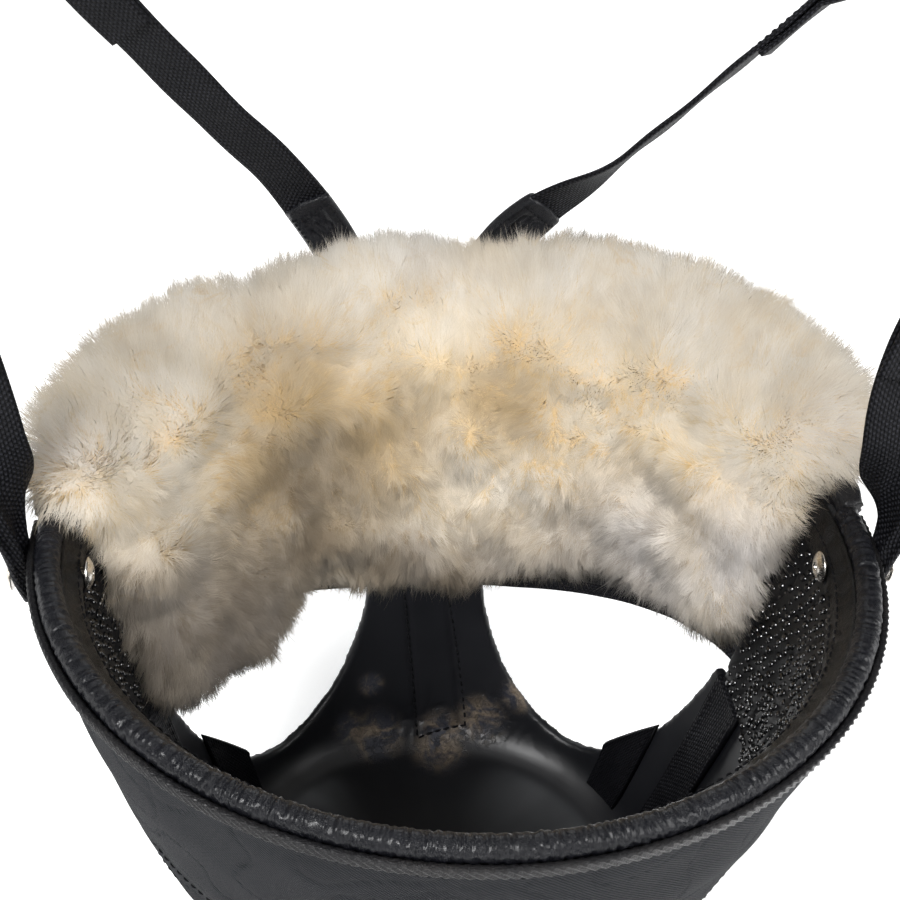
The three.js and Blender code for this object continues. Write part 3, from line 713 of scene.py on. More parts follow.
def rubber_base():
    turn = np.linspace(0, 360, 300, endpoint=False)
    low, round_edge = 4.0, np.radians([0, 30, 60, 90])
    outer = [(z, 0.0, 1.0) for z in np.linspace(RUBBER_TOP, low, 40)]
    outer += [(low * (1 - math.sin(a)), low * (math.cos(a) - 1), 1.0) for a in round_edge[1:]]
    floor_out = [(0.0, -low, s) for s in (0.8, 0.5, 0.2, 0.01)]
    floor_in = [(FLOOR, -low, s) for s in (0.01, 0.2, 0.5, 0.8)]
    inner = [(FLOOR + FILLET * (1 - math.sin(a)), -RUBBER_WALL - FILLET * (1 - math.cos(a)), 1.0)
             for a in np.radians(np.linspace(90, 0, 9))]
    inner += [(z, -RUBBER_WALL, 1.0) for z in np.linspace(FLOOR + FILLET + 1, RUBBER_TOP, 34)]
    rings = []
    for z, offset, share in outer + floor_out + floor_in + inner:
        ring = wall(turn, z, offset)
        ring[:, :2] *= share
        rings.append(ring)
    rings = np.stack(rings)
    n, m = rings.shape[:2]
    last = (n - 1) * m
    faces = loft_faces(n, m)[:-2] + [(last + j, last + (j + 1) % m, (j + 1) % m, j) for j in range(m)]
    bucket = scratch("bucket", rings.reshape(-1, 3), faces)
    cutters = []
    outline = nostril_outline()
    for mirror in (False, True):
        angle = 180 - outline[:, 0] if mirror else outline[:, 0]
        loops = [wall(angle, outline[:, 1], offset) for offset in (-14, 6, 40)]
        cutters.append(scratch("cutter", np.concatenate(loops), loft_faces(3, len(outline))))
    round_hole = np.linspace(0, 2 * np.pi, 64, endpoint=False)
    x, y = GRAZING_HOLE * np.cos(round_hole), GRAZING_HOLE * np.sin(round_hole)
    hole = [np.stack([x, y, np.full(64, z)], 1) for z in (-5.0, 10.0)]
    cutters.append(scratch("cutter", np.concatenate(hole), loft_faces(2, 64)))
    for cutter in cutters:
        cut_by(bucket, cutter)
    remesh = bucket.modifiers.new("remesh", "REMESH")
    remesh.mode, remesh.voxel_size = "VOXEL", 0.00115
    settle = bucket.modifiers.new("smooth", "SMOOTH")
    settle.factor, settle.iterations = 0.5, 5
    mesh = evaluated(bucket, cutters)
    co, normal = skin_of(mesh)
    angle = np.degrees(np.arctan2(co[:, 1] - 6 * co[:, 2] / RIM_HEIGHT, co[:, 0]))
    inward = smooth_step(-outwardness(normal, angle), 0.3, 0.8)
    lift = 0.05 * ripple(angle * 1.6, co[:, 2], 22, 3)
    near_front = np.exp(-((angle - 88) / 30) ** 2 - ((co[:, 2] - 9) / 10) ** 2)
    lift -= inward * near_front * 0.9 * crease(angle * 1.5, co[:, 2], 13, 5, 2.4)
    for start, end in BRIDGE_SEAMS:
        steps = np.linspace(0, 1, 60)[:, None]
        path = np.array(start) * (1 - steps) + np.array(end) * steps
        sideways, upwards = (angle[:, None] - path[None, :, 0]) * 1.4, co[:, 2:3] - path[None, :, 1]
        gap = np.min(np.hypot(sideways, upwards), axis=1)
        lift -= inward * 0.95 * np.exp(-((gap / 0.95) ** 2))
    set_places(mesh, co + normal * lift[:, None])
    chart(mesh)
    dress("rubber_base", mesh, RUBBER)


rubber_base()
seam_lines = []
for start, end in BRIDGE_SEAMS:
    share = np.linspace(0, 1, 80)
    angle = start[0] + (end[0] - start[0]) * share
    height = start[1] + (end[1] - start[1]) * share
    drop = np.clip(FLOOR + FILLET - height, 0, FILLET)
    inset = FILLET - np.sqrt(FILLET**2 - drop**2)
    skin = wall(angle, height, -RUBBER_WALL - 0.02 - inset)
    middle = wall(angle, np.maximum(height, FLOOR + FILLET), -RUBBER_WALL - FILLET)
    seam_lines.append(stitch_line(skin, unit(middle - skin), pitch=3.2, length=2.5))
stitches("bridge_stitching", seam_lines, radius=0.42)


# ------------------------------------------------------------------ webbing bands round the bucket
BAND_HALF_TURN = 6.37       # degrees
BAND_INNER, BAND_OUTER, BAND_FOOT = -5.6, -3.8, 9.0
FRONT_BAND_TURN = 27.0


def upright_band(name, centre, top):
    """A webbing band inside the rubber wall, centred on an angle; top(angles) is its upper edge."""
    turn = np.linspace(-BAND_HALF_TURN, BAND_HALF_TURN, 26) + centre
    top = top(turn)
    z, offset, side = slab(turn, BAND_FOOT, top, BAND_INNER, BAND_OUTER, 0.6, 40)
    fray = 0.5 * smooth_step(z, top[:, None] - 3, top[:, None])
    lift = 0.12 * ripple(np.radians(turn)[:, None] * 85, z, 14, int(centre) + 400) + fray
    offset = offset - np.where(side < 0, lift, 0)
    swap_uv(sweep(name, wall(turn[:, None], z, offset), WEB))


def swap_uv(piece):
    """Turns the weave so that the warp runs along the other direction."""
    layer = piece.data.uv_layers["Surface"]
    uv = np.zeros(len(piece.data.loops) * 2, np.float32)
    layer.data.foreach_get("uv", uv)
    layer.data.foreach_set("uv", uv.reshape(-1, 2)[:, ::-1].copy().ravel())


def level_top(angles):
    return np.full_like(angles, 82.0)


for side, mirror in (("right", False), ("left", True)):
    turned = (lambda a: 180 - a) if mirror else (lambda a: a)
    upright_band(f"side_band_{side}", turned(4.0), level_top)
    upright_band(f"front_band_{side}", turned(FRONT_BAND_TURN), lambda a: 27 + 1.6 * (33 - turned(a)))
    upright_band(f"rear_band_{side}", turned(-45.0), level_top)
upright_band("chin_band", -90.0, level_top)
swap_uv(wall_band("bridge_strap", np.linspace(84, 96, 24), 10.0, 58.0, 0.3, 2.1, WEB, edge=0.6, rows=50))


def band_stitching(degrees, height, offset, inward, **options):
    skin = wall(degrees, height, offset)
    return stitch_line(skin, unit(wall(degrees, height, offset + (-5 if inward else 5)) - skin), **options)


lines = []
for centre in (4.0, FRONT_BAND_TURN, -45.0, 176.0, 180 - FRONT_BAND_TURN, 225.0, -90.0):
    for edge in (-5.0, 5.0):
        top = 80.0
        if centre in (FRONT_BAND_TURN, 180 - FRONT_BAND_TURN):
            top = 27 + 1.6 * (6 - (edge if centre == FRONT_BAND_TURN else -edge)) - 2
        height = np.linspace(10, top, 60)
        lines.append(band_stitching(np.full(60, centre + edge), height, BAND_INNER - 0.02, True))
stitches("band_stitching", lines, radius=0.3)

# ------------------------------------------------------------------ noseband
front = np.linspace(*NOSEBAND_ENDS, 260)
low, top = noseband_low(front), noseband_top(front)
wall_band("noseband_shell", front, low, top, 1.9, 4.0, LEATHER, edge=0.9, rows=40,
          relief=lambda u, z, side: (0.25 * ripple(u, z, 30, 11)
                                     - 0.3 * crease(u, z, 24, 12, 5) * (side > 0)))
strip = np.linspace(12, 168, 240)
wall_band("noseband_webbing", strip, noseband_low(strip) - 6, noseband_low(strip) + 14, 4.3, 6.1, WEB,
          edge=0.6, rows=26,
          relief=lambda u, z, side: 0.15 * ripple(u, z, 22, 13))
wall_band("noseband_top_binding", front, top + 0.3, top + 5, -4.2, 4.8, LEATHER, edge=2.3, rows=6,
          relief=lambda u, z, side: (
              0.35 * ripple(u, z * 0.3, 6, 14) + 0.25 * ripple(u, z, 3, 15)
              - 2.6 * (1 - smooth_step(np.minimum(u - u.min(), u.max() - u), 0, 6)) ** 2))
inner = np.linspace(15, 165, 160)
wall_band("noseband_foam", inner, noseband_low(inner) + 22, noseband_top(inner) - 2, -3.5, 1.6, FOAM,
          edge=1.5)
for side, ends in (("right", (20, 80)), ("left", (100, 160))):
    wall_band(f"fleece_fastener_{side}", np.linspace(*ends, 90), 112.0, 150.0, -4.9, -3.8, WEB, edge=0.4)
hide = np.linspace(12, 168, 200)
wall_band("fleece_hide", hide, noseband_low(hide) + 12, noseband_top(hide) - 2, -7.0, -5.2, HIDE,
          edge=0.8, rows=20, relief=lambda u, z, side: 0.2 * ripple(u, z, 20, 16))
lines = [band_stitching(strip, noseband_low(strip) + up, 6.12, False) for up in (12.2, -4.2)]
lines += [band_stitching(front, top - down, 4.3, False, pitch=3.0, length=2.2) for down in (4, 6.5)]
stitches("noseband_stitching", lines, radius=0.3)

# ------------------------------------------------------------------ side and chin panel
back = np.linspace(*PANEL_ENDS, 420)


def panel_puff(u, z):
    """The padded panel swells between its two stitched lines."""
    swell = np.sin(np.pi * np.clip((z - 86) / 58, 0, 1)) ** 0.6
    return 0.9 * swell + 0.35 * ripple(u, z, 34, 21) - 0.35 * crease(u, z, 30, 22, 5)


wall_band("panel_shell", back, PANEL_SKIRT, PANEL_TOP, 0.3, 1.6, TWILL, edge=0.5, rows=60,
          relief=lambda u, z, side: np.where(side > 0, panel_puff(u, z), 0.0))
wall_band("panel_foam", back, PANEL_LOW, PANEL_TOP, -5.0, 0.0, FOAM, edge=1.8)


def lining_folds(u, z, side):
    drawn = crease(u + 0.55 * z, z * 0.6, 26, 24, 3.2)
    return np.where(side < 0, 0.5 * ripple(u, z, 24, 23) - 0.9 * drawn, 0.0)


wall_band("panel_lining", back, PANEL_LOW, PANEL_TOP - 4, LINING_INNER, -5.3, LINING, edge=0.5, rows=60,
          relief=lining_folds)


def lining_pimples():
    """Small three-sided bumps in slanting rows over the lining."""
    pitch = 3.9
    u, row = np.meshgrid(np.arange(*PANEL_ENDS, math.degrees(pitch / WALL_PER_RADIAN)), np.arange(20))
    z = 85.5 + row * pitch * 0.78
    degrees = u + (row % 2) * math.degrees(pitch / (2 * WALL_PER_RADIAN)) + row * 0.35
    keep = (degrees < PANEL_ENDS[1] - 1) & (z < PANEL_TOP - FACING_HEIGHT - 0.8)
    degrees, z = degrees[keep], z[keep]
    degrees = degrees + 0.3 * RNG.standard_normal(len(degrees))
    z = z + 0.35 * RNG.standard_normal(len(z))
    folds = lining_folds(np.radians(degrees) * WALL_PER_RADIAN, z, -1)
    base = wall(degrees, z, LINING_INNER + 0.05 - folds)
    along = unit(wall(degrees + 0.5, z, LINING_INNER) - wall(degrees - 0.5, z, LINING_INNER))
    inward = unit(wall(degrees, z, LINING_INNER - 3) - wall(degrees, z, LINING_INNER))
    up = np.cross(inward, along)
    tilt = RNG.normal(0.25, 0.18, len(degrees))[:, None]
    x, y = along * np.cos(tilt) + up * np.sin(tilt), up * np.cos(tilt) - along * np.sin(tilt)
    size = RNG.uniform(0.65, 1.15, (len(degrees), 1))
    corner = np.radians([90, 210, 330])
    rings = [(1.5, -0.2), (1.45, 0.2), (0.95, 0.8), (0.3, 1.1)]
    template = np.concatenate([np.stack([r * np.cos(corner), r * np.sin(corner), np.full(3, h)], 1)
                               for r, h in rings])
    quads = np.array(loft_faces(4, 3)[:-2])
    scatter("lining_pimples", template, [quads, np.array([[9, 10, 11], [2, 1, 0]])], base,
            np.stack([x * size, y * size, inward * size], 1), PIMPLE)


lining_pimples()
z, offset, side = slab(back, PANEL_TOP - FACING_HEIGHT, PANEL_TOP + 1.7, -8.4, -6.9, 0.7, 14)
round_wall = np.radians(back)[:, None] * WALL_PER_RADIAN
worn = 0.3 * ripple(round_wall, z, 9, 25) - 0.4 * crease(round_wall, z * 0.5, 8, 26, 3)
offset = offset + 2.7 * smooth_step(z, PANEL_TOP - 3.5, PANEL_TOP + 1.7) - worn * (side < 0)
sweep("rim_facing", wall(back[:, None], z, offset), FACING)
rim = np.linspace(*RIM_ENDS, 900)
wall_band("rim_binding", rim, PANEL_TOP - 1.5, PANEL_TOP + 3, 1.5, 3.6, LEATHER, edge=0.8, rows=8,
          relief=lambda u, z, side: np.where(side >= 0, 0.3 * np.sin(2 * np.pi * (u + 0.8 * z) / 2.1), 0.0))


def rim_piping():
    """Leather gathered over a cord: rounded folds across the piping with sharp valleys between."""
    degrees = np.linspace(*RIM_ENDS, 1150)[:, None]
    turn = np.linspace(0, 2 * np.pi, 32, endpoint=False)[None]
    s = np.radians(degrees) * 112
    lap = np.sin(turn) * 2.8
    wander = 1.5 * ripple(s, lap, 13, 31) + 0.7 * ripple(s, lap, 5, 32)
    gather = np.abs(np.sin(np.pi * (s + wander + 0.35 * lap) / 3.3)) ** 0.55 - 0.75
    deep = 0.5 + 0.5 * np.clip(ripple(s, lap, 18, 33) + 0.4, 0, 1.4)
    radius = PIPING_RADIUS + 0.4 * gather * deep + 0.12 * ripple(s, lap, 2.2, 34)
    height = PANEL_TOP + PIPING_RADIUS + 0.3
    offset = radius * np.cos(turn) - 2.1
    rings = wall(np.broadcast_to(degrees, offset.shape), np.full_like(offset, height), offset)
    rings[..., 2] = height + radius * np.sin(turn)
    sweep("rim_piping", rings, PIPING)


rim_piping()
lines = [band_stitching(back, np.full(len(back), height), offset, offset < 0, pitch=3.0, length=2.1)
         for height, offset in ((PANEL_TOP - 1.8, -8.45), (PANEL_TOP - FACING_HEIGHT + 1.6, -8.45),
                                (PANEL_TOP - 4.5, 1.75), (73.5, 1.65), (84.0, 1.7))]
stitches("panel_stitching", lines, radius=0.3)


# ------------------------------------------------------------------ round metalwork
class Axes:
    """A fitting's own axes at rest: where it sits and its X, Y and Z directions, in millimetres."""

    def __init__(self, origin, x, y, z):
        self.origin, self.basis = np.asarray(origin, float), np.stack([x, y, z]).astype(float)

    def place(self, points):
        return self.origin + np.asarray(points, float) @ self.basis


def revolve(name, profile, axes, sides=48, **options):
    """A turned steel solid from (radius, height) pairs that start and end on its axis."""
    profile = np.array(profile, float)
    profile[:, 0] = np.maximum(profile[:, 0], 0.02)
    turn = np.linspace(0, 2 * np.pi, sides, endpoint=False)
    rings = np.stack([np.outer(np.cos(turn), profile[:, 0]), np.outer(np.sin(turn), profile[:, 0]),
                      np.broadcast_to(profile[:, 1], (sides, len(profile)))], -1)
    rings = axes.place(rings.reshape(-1, 3)).reshape(rings.shape)
    return sweep(name, rings, STEEL, closed=True, caps=False, **options)


def arc(centre, radius, start, end, count=6):
    a = np.radians(np.linspace(start, end, count))
    return [(centre[0] + radius * math.cos(t), centre[1] + radius * math.sin(t)) for t in a]


RIVET_HEIGHT, RIVET_ANGLE, RIVET_GRIP = 147.5, -4.0, 9.6
rivet_flange = [(0, 0), (4.1, 0), *arc((4.15, 0.35), 0.35, -80, 40)]
for side, sign in (("right", 1.0), ("left", -1.0)):
    place = wall(RIVET_ANGLE if sign > 0 else 180 - RIVET_ANGLE, RIVET_HEIGHT)
    inner = Axes(place - [sign * RIVET_GRIP, 0, 0], [0, sign, 0], [0, 0, 1], [-sign, 0, 0])
    cap = [*rivet_flange, (3.7, 1.05), (3.0, 1.5), (2.2, 1.8), (1.5, 1.9), (1.15, 1.8), (1.0, 1.3),
           (0.9, 0.9), (0, 0.85)]
    revolve(f"rivet_cap_{side}", cap, inner)
    outer = Axes(place + [sign * RIVET_GRIP, 0, 0], [0, sign, 0], [0, 0, 1], [sign, 0, 0])
    back_cap = [*rivet_flange, (3.6, 1.0), (2.6, 1.35), (1.3, 1.55), (0, 1.6)]
    revolve(f"rivet_back_{side}", back_cap, outer)
    post = [(0, 0.3), (1.6, 0.3), (1.6, 2 * RIVET_GRIP - 0.3), (0, 2 * RIVET_GRIP - 0.3)]
    post_axes = Axes(inner.origin, *inner.basis[:2], -inner.basis[2])
    revolve(f"rivet_post_{side}", post, post_axes, sides=24)


# ------------------------------------------------------------------ straps
BAR_RADIUS = 1.6


def rotate_about(v, axis, angle):
    cos, sin = np.cos(angle)[:, None], np.sin(angle)[:, None]
    return v * cos + np.cross(axis, v) * sin + axis * (np.sum(axis * v, 1, keepdims=True)) * (1 - cos)


def ribbon(name, centre, across, normal, half_width, finish, thickness=WEBBING, relief=None, **options):
    """A flat strap through stations; relief(share along, share across) lifts it along its normal."""
    t = np.linspace(-1, 1, 21)
    bend = np.radians([30, 60, 90, 120, 150])
    edge = thickness / 2
    share = np.concatenate([t, np.ones(5), t[::-1], -np.ones(5)])
    out = np.concatenate([np.zeros(21), np.sin(bend), np.zeros(21), -np.sin(bend)]) * edge
    height = np.concatenate([np.ones(21), np.cos(bend), -np.ones(21), -np.cos(bend)]) * edge
    half_width = np.broadcast_to(half_width, len(centre))
    width = share[None] * (half_width[:, None] - edge) + out[None]
    along = np.linspace(0, 1, len(centre))[:, None]
    lift = relief(along, share[None]) if relief is not None else 0.0
    rings = (centre[:, None] + across[:, None] * width[..., None]
             + normal[:, None] * (height[None] + lift)[..., None])
    return sweep(name, rings, finish, **options)


def strap_stations(waypoints, width, lower_width, taper_to, facing, twist, fold):
    """Centres, width directions, normals and half widths of a strap that ends folded round a bar."""
    path = catmull(waypoints, 0.9)
    t = np.linspace(0, 1, len(path))
    along = unit(np.gradient(path, axis=0))
    across = unit(np.cross(along, facing))
    across = rotate_about(across, along, np.radians(twist[0] * smooth_step(t, twist[1], twist[2])))
    half = (lower_width + (width - lower_width) * np.minimum(t / taper_to, 1)) / 2
    normal = unit(np.cross(across, along))
    end, ahead, out = path[-1], along[-1], normal[-1]
    reach = BAR_RADIUS + 0.3 + WEBBING / 2
    bar = end + ahead * 5 - out * reach
    turn = np.radians(np.linspace(0, 180, 24))[:, None]
    turned = out * np.cos(turn) + ahead * np.sin(turn)
    down = np.linspace(2, fold, 26)[:, None]
    lap = WEBBING + 0.4
    centre = np.vstack([path, bar + turned * reach, end - ahead * down - out * lap])
    normal = np.vstack([normal, turned, np.repeat(-out[None], 26, 0)])
    across = np.vstack([across, np.repeat(across[-1:], 50, 0)])
    half = np.concatenate([half, np.full(50, half[-1])])
    axes = Axes(bar, across[-1], np.cross(ahead, across[-1]), ahead)
    return path, centre, across, normal, half, axes


def box_stitching(path, across, normal, half, start, end, lift):
    """A boxed cross of stitches on a strap's face between two places along it."""
    a, b = (int(len(path) * s) for s in (start, end))
    pick = np.arange(a, b)
    share = np.linspace(-1, 1, len(pick))[:, None]
    face, wide = path[pick] + normal[pick] * lift, across[pick] * (half[pick][:, None] - 2.2)
    edge_lines = [face + wide, face - wide, face + wide * share, face - wide * share]
    found = [stitch_line(line, normal[pick], pitch=2.6, length=1.9) for line in edge_lines]
    for k in (0, -1):
        cross = np.linspace(-1, 1, 24)[:, None]
        found.append(stitch_line(face[k] + wide[k] * cross, np.repeat(normal[pick][k][None], 24, 0),
                                 pitch=2.6, length=1.9))
    return found


CHEEK = {
    "right": [[117.4, 0, 141], [119, 0, 150], [119.5, 0, 164], [117, 1, 180], [114, 2, 200], [114.5, 3, 218],
              [118, 4, 236]],
    "left": [[-117.4, 0, 141], [-119, 0, 150], [-120.5, 0, 164], [-122.5, 1, 180], [-125, 2, 200],
             [-128, 3, 218], [-131, 4, 236]],
}
TOP = np.array([[20, 122.6, 146], [22, 126.6, 160], [27, 129.6, 172], [37, 128.6, 187], [52.6, 124, 205],
                [67.8, 119, 223], [93, 113, 254], [108, 110.5, 272]])
TOP_SHIFT = np.array([-6.5, -6, -5.5, -4, 0, 0, 0, 0])


def cheek_strap(side, sign):
    path, centre, across, normal, half, axes = strap_stations(
        CHEEK[side], 20, 11.5, 0.35, [sign, 0, 0], (90 * sign, 0.14, 0.55), 26)

    def gathers(along, share):
        """Pleats where the strap is drawn into the rim, and a slight cup further up."""
        drawn = 1 - smooth_step(along, 0.04, 0.42)
        pleats = np.cos(share * 6.6 + 0.5) * 1.15 + 0.5 * np.cos(share * 11 + along * 22)
        return drawn * pleats + 0.35 * share**2 * smooth_step(along, 0.3, 0.5) * (along < 0.7)

    ribbon(f"cheek_strap_{side}", centre, across, normal, half, WEB, relief=gathers)
    lines = box_stitching(path, across, normal, half, 0.76, 0.96, 0.93)
    stitches(f"cheek_stitching_{side}", lines, radius=0.28)
    return axes


def top_strap(side, sign):
    points = TOP * [sign, 1, 1]
    points[:, 0] += TOP_SHIFT
    twist = (58, 0.2, 0.55) if sign > 0 else (-15, 0.2, 0.55)
    path, centre, across, normal, half, _ = strap_stations(points, 16, 16, 1, [0, 1, 0], twist, 24)
    ribbon(f"top_strap_{side}", centre, across, normal, half, WEB,
           relief=lambda along, share: 0.25 * np.cos(along * 40) * share)
    lines = box_stitching(path, across, normal, half, 0.84, 0.97, 0.93)
    stitches(f"top_stitching_{side}", lines, radius=0.28)
    low, high = int(len(path) * 0.06), int(len(path) * 0.335)
    pick, t = slice(low, high), np.linspace(0, 1, high - low)
    round_end = np.sqrt(np.clip(1 - ((t - 0.97) / 0.03).clip(0, 1) ** 2, 0.2, 1))
    tab_half = (half[pick] + 0.3) * round_end

    def tooled(along, share):
        """A turned border round a sunk, wrinkled middle, on both faces."""
        rim = np.maximum(smooth_step(np.abs(share), 0.6, 0.72), smooth_step(along, 0.84, 0.9))
        folds = 0.3 * ripple(along * 30, share * 8, 3.0, 41)
        return (0.35 * rim + (1 - rim) * (folds - 0.35)) * np.repeat([1, -1], 26)

    ribbon(f"top_tab_{side}", path[pick], across[pick], normal[pick], tab_half, PIPING,
           thickness=WEBBING + 2.2, relief=tooled)
    seam = []
    for face in (1, -1):
        skin = path[pick] + normal[pick] * face * (WEBBING / 2 + 1.45)
        for edge in (-1, 1):
            rim_line = skin + across[pick] * (edge * (tab_half - 1.6))[:, None]
            seam.append(stitch_line(rim_line[:-3], normal[pick][:-3] * face, pitch=1.9, length=1.5))
        ends = skin[-6] + across[pick][-6] * np.linspace(-1, 1, 24)[:, None] * (tab_half[-8] - 1.6)
        seam.append(stitch_line(ends, np.repeat(normal[pick][-6][None] * face, 24, 0), pitch=1.9, length=1.5))
    stitches(f"tab_stitching_{side}", seam, radius=0.34)


# ------------------------------------------------------------------ snap hooks
EYE_HEIGHT, BARREL_RADIUS, BOLT_RADIUS = 14.0, 5.0, 2.0
BARREL_LOW = EYE_HEIGHT + BAR_RADIUS + 0.6
BARREL_HIGH = BARREL_LOW + 24
HOOK_HEIGHT, HOOK_DEPTH, TRIGGER_TRAVEL = 22.0, 15.0, 7.0


def hook_eye(side, axes):
    half, corner = 14.5, 4.0
    low, high = corner, EYE_HEIGHT - corner
    outline = [(x, 0, z) for middle, start in (((half - corner, low), -90), ((half - corner, high), 0),
                                               ((corner - half, high), 90), ((corner - half, low), 180))
               for x, z in arc(middle, corner, start, start + 90, 12)]
    tube(f"hook_eye_{side}", axes.place(outline), BAR_RADIUS, sides=20, closed=True, body=f"eye_{side}")
    stud = [(0, EYE_HEIGHT - 0.6), (2, EYE_HEIGHT - 0.6), (2, BARREL_LOW + 2), (2.7, BARREL_LOW + 2),
            (3, BARREL_LOW + 2.3), (3, BARREL_LOW + 3.7), (2.7, BARREL_LOW + 4), (0, BARREL_LOW + 4)]
    revolve(f"hook_stud_{side}", stud, axes, body=f"eye_{side}")


def hook_body(side, axes):
    top = BARREL_HIGH + HOOK_HEIGHT
    ring = [(r, z) for z0 in (BARREL_LOW + 4.2, BARREL_LOW + 6.4) for r, z in
            ((BARREL_RADIUS, z0 - 0.5), (BARREL_RADIUS - 0.35, z0 - 0.2), (BARREL_RADIUS - 0.35, z0 + 0.2),
             (BARREL_RADIUS, z0 + 0.5))]
    profile = [(2.3, BARREL_LOW), *arc((BARREL_RADIUS - 1.2, BARREL_LOW + 1.2), 1.2, -90, 0), *ring,
               *arc((BARREL_RADIUS - 1.0, BARREL_HIGH - 1.0), 1.0, 0, 90), (2.3, BARREL_HIGH),
               *((r, BARREL_LOW + z) for r, z in ((2.3, 6.2), (3.3, 6.2), (3.3, 1.6), (2.3, 1.6)))]
    barrel = revolve(f"hook_body_{side}", profile, axes, sides=72, body=f"hook_{side}")
    cut_thumb_slot(barrel, axes)
    bow = catmull([[0, 4.9, BARREL_LOW + 5.5], [0, 8, BARREL_LOW + 12], [0, HOOK_DEPTH, BARREL_HIGH],
                   [0, HOOK_DEPTH, top - 8], [0, HOOK_DEPTH / 2, top], [0, 0.5, top - 3],
                   [0, 0, top - 9]], 0.7)
    t = np.linspace(0, 1, len(bow))
    radius = 2.4 * (1 - 0.28 * smooth_step(t, 0.965, 1)) * (1 + 0.08 * np.sin(np.pi * t))
    tube(f"hook_bow_{side}", axes.place(bow), radius, sides=24, body=f"hook_{side}")


def cut_thumb_slot(barrel, axes):
    """Opens the slot that the trigger's thumb piece slides in."""
    x, z = 1.5, (BARREL_HIGH - 4 - (TRIGGER_TRAVEL + 4), BARREL_HIGH - 4)
    corners = [(sx * x, y, h) for h in z for sx, y in ((-1, -9), (1, -9), (1, -1), (-1, -1))]
    cutter = scratch("slot", axes.place(corners), loft_faces(2, 4))
    cut_by(barrel, cutter)
    bpy.context.view_layer.update()
    mesh = applied(barrel)
    barrel.modifiers.clear()
    barrel.data = mesh
    bpy.data.objects.remove(cutter, do_unlink=True)


def hook_trigger(side, axes):
    body = f"trigger_{side}"
    top = BARREL_HIGH + HOOK_HEIGHT - 9.3
    bolt = [(0, BARREL_HIGH - 9), (BOLT_RADIUS, BARREL_HIGH - 9), (BOLT_RADIUS, top - 0.7),
            *arc((BOLT_RADIUS - 0.7, top - 0.7), 0.7, 0, 90), (0, top)]
    revolve(f"hook_trigger_{side}", bolt, axes, sides=36, body=body)
    stem_path = axes.place([(0, y, BARREL_HIGH - 6) for y in np.linspace(-0.8, -7.4, 12)])
    tube(f"hook_stem_{side}", stem_path, 1.05, body=body)
    thumb_axes = Axes(axes.place([0, -7.2, BARREL_HIGH - 6]), axes.basis[0], axes.basis[2], -axes.basis[1])
    thumb = [(0, -0.4), (2.2, -0.4), *arc((2.3, 0.1), 0.5, -90, 20), (2.5, 0.9), (1.7, 1.5), (0.9, 1.8),
             (0, 1.9)]
    revolve(f"hook_thumb_{side}", thumb, thumb_axes, body=body)


def hook_spring(side, axes):
    turns, low = 3, BARREL_LOW + 4.7
    height = BARREL_HIGH - 9 - TRIGGER_TRAVEL - 0.3 - low
    t = np.linspace(0, turns, 90)
    coil = np.stack([1.5 * np.cos(2 * np.pi * t), 1.5 * np.sin(2 * np.pi * t),
                     low + (height - 0.8) * t / turns], 1)
    tube(f"hook_spring_{side}", axes.place(coil), 0.35, sides=10, body=f"hook_{side}")


for side, sign in (("right", 1.0), ("left", -1.0)):
    fitting = cheek_strap(side, sign)
    for part in (hook_eye, hook_body, hook_trigger, hook_spring):
        part(side, fitting)
    top_strap(side, sign)


# ------------------------------------------------------------------ fleece
WOOL_ENDS = (8.5, 175.5)
WOOL_REACH, LOCKS = 8.4, 7500
BLADE_LEVELS, BLADE_POINTS = (0.0, 0.36, 0.7, 1.0), 7
BLADE_FACING = unit(np.array([-0.15, -0.6, 0.75]))      # turns the blades' flat sides towards the lights
OUTLINE_ANGLES = [8, 22, 38, 52, 64, 76, 88, 98, 110, 124, 138, 152, 174]
WOOL_TOP = [182, 184, 186, 184, 183, 177, 175, 179, 175, 172, 174, 175, 174]
WOOL_LOW = [100, 95, 93, 90, 82, 74, 72, 72, 75, 75, 67, 69, 80]


def wool_outline(degrees):
    """Upper and lower edges of the wool's body at each angle."""
    keys = np.array(OUTLINE_ANGLES, float)
    fine = np.linspace(keys[0], keys[-1], 400)
    soft = np.exp(-0.5 * (np.arange(-24, 25) / 10.0) ** 2)
    out = []
    for values in (WOOL_TOP, WOOL_LOW):
        padded = np.pad(np.interp(fine, keys, values), 24, mode="edge")
        out.append(np.interp(degrees, fine, np.convolve(padded, soft / soft.sum(), "valid")))
    return out


def wool_section(top, low, ledge, close):
    """(offset, height) round the pad at one angle: full in front, rolled outwards over the noseband's top."""
    middle, thin = (top + low) / 2, 1 - close
    keys = np.array([
        (-12.5, low + 1), (-17.5, low + 5), (-20.5, (low + middle) / 2), (-21.5, middle),
        (-20.5, (top + middle) / 2), (-18.5, top - 9), (-14, top - 2), (-7, top), (-1, top - 1),
        (2.5, max(top - 4, ledge + 5)),
        (2.0, ledge + 2), (-4.0, ledge + 1.2), (-7.8, ledge - 3), (-8.0, middle + 12), (-8.0, middle - 12),
        (-8.4, low + 6)])
    keys[:, 0] += thin * np.where(keys[:, 0] < -9, (-9 - keys[:, 0]) * 0.75, 0)
    keys[:, 1] += thin * (middle + 6 - keys[:, 1]) * 0.12
    loop = np.vstack([keys[-1:], keys, keys[:2]])
    out = []
    for p0, p1, p2, p3 in zip(loop, loop[1:], loop[2:], loop[3:]):
        t = np.linspace(0, 1, 4, endpoint=False)[:, None]
        out.append(0.5 * (2 * p1 + (p2 - p0) * t + (2 * p0 - 5 * p1 + 4 * p2 - p3) * t**2
                          + (3 * p1 - p0 - 3 * p2 + p3) * t**3))
    return np.vstack(out)


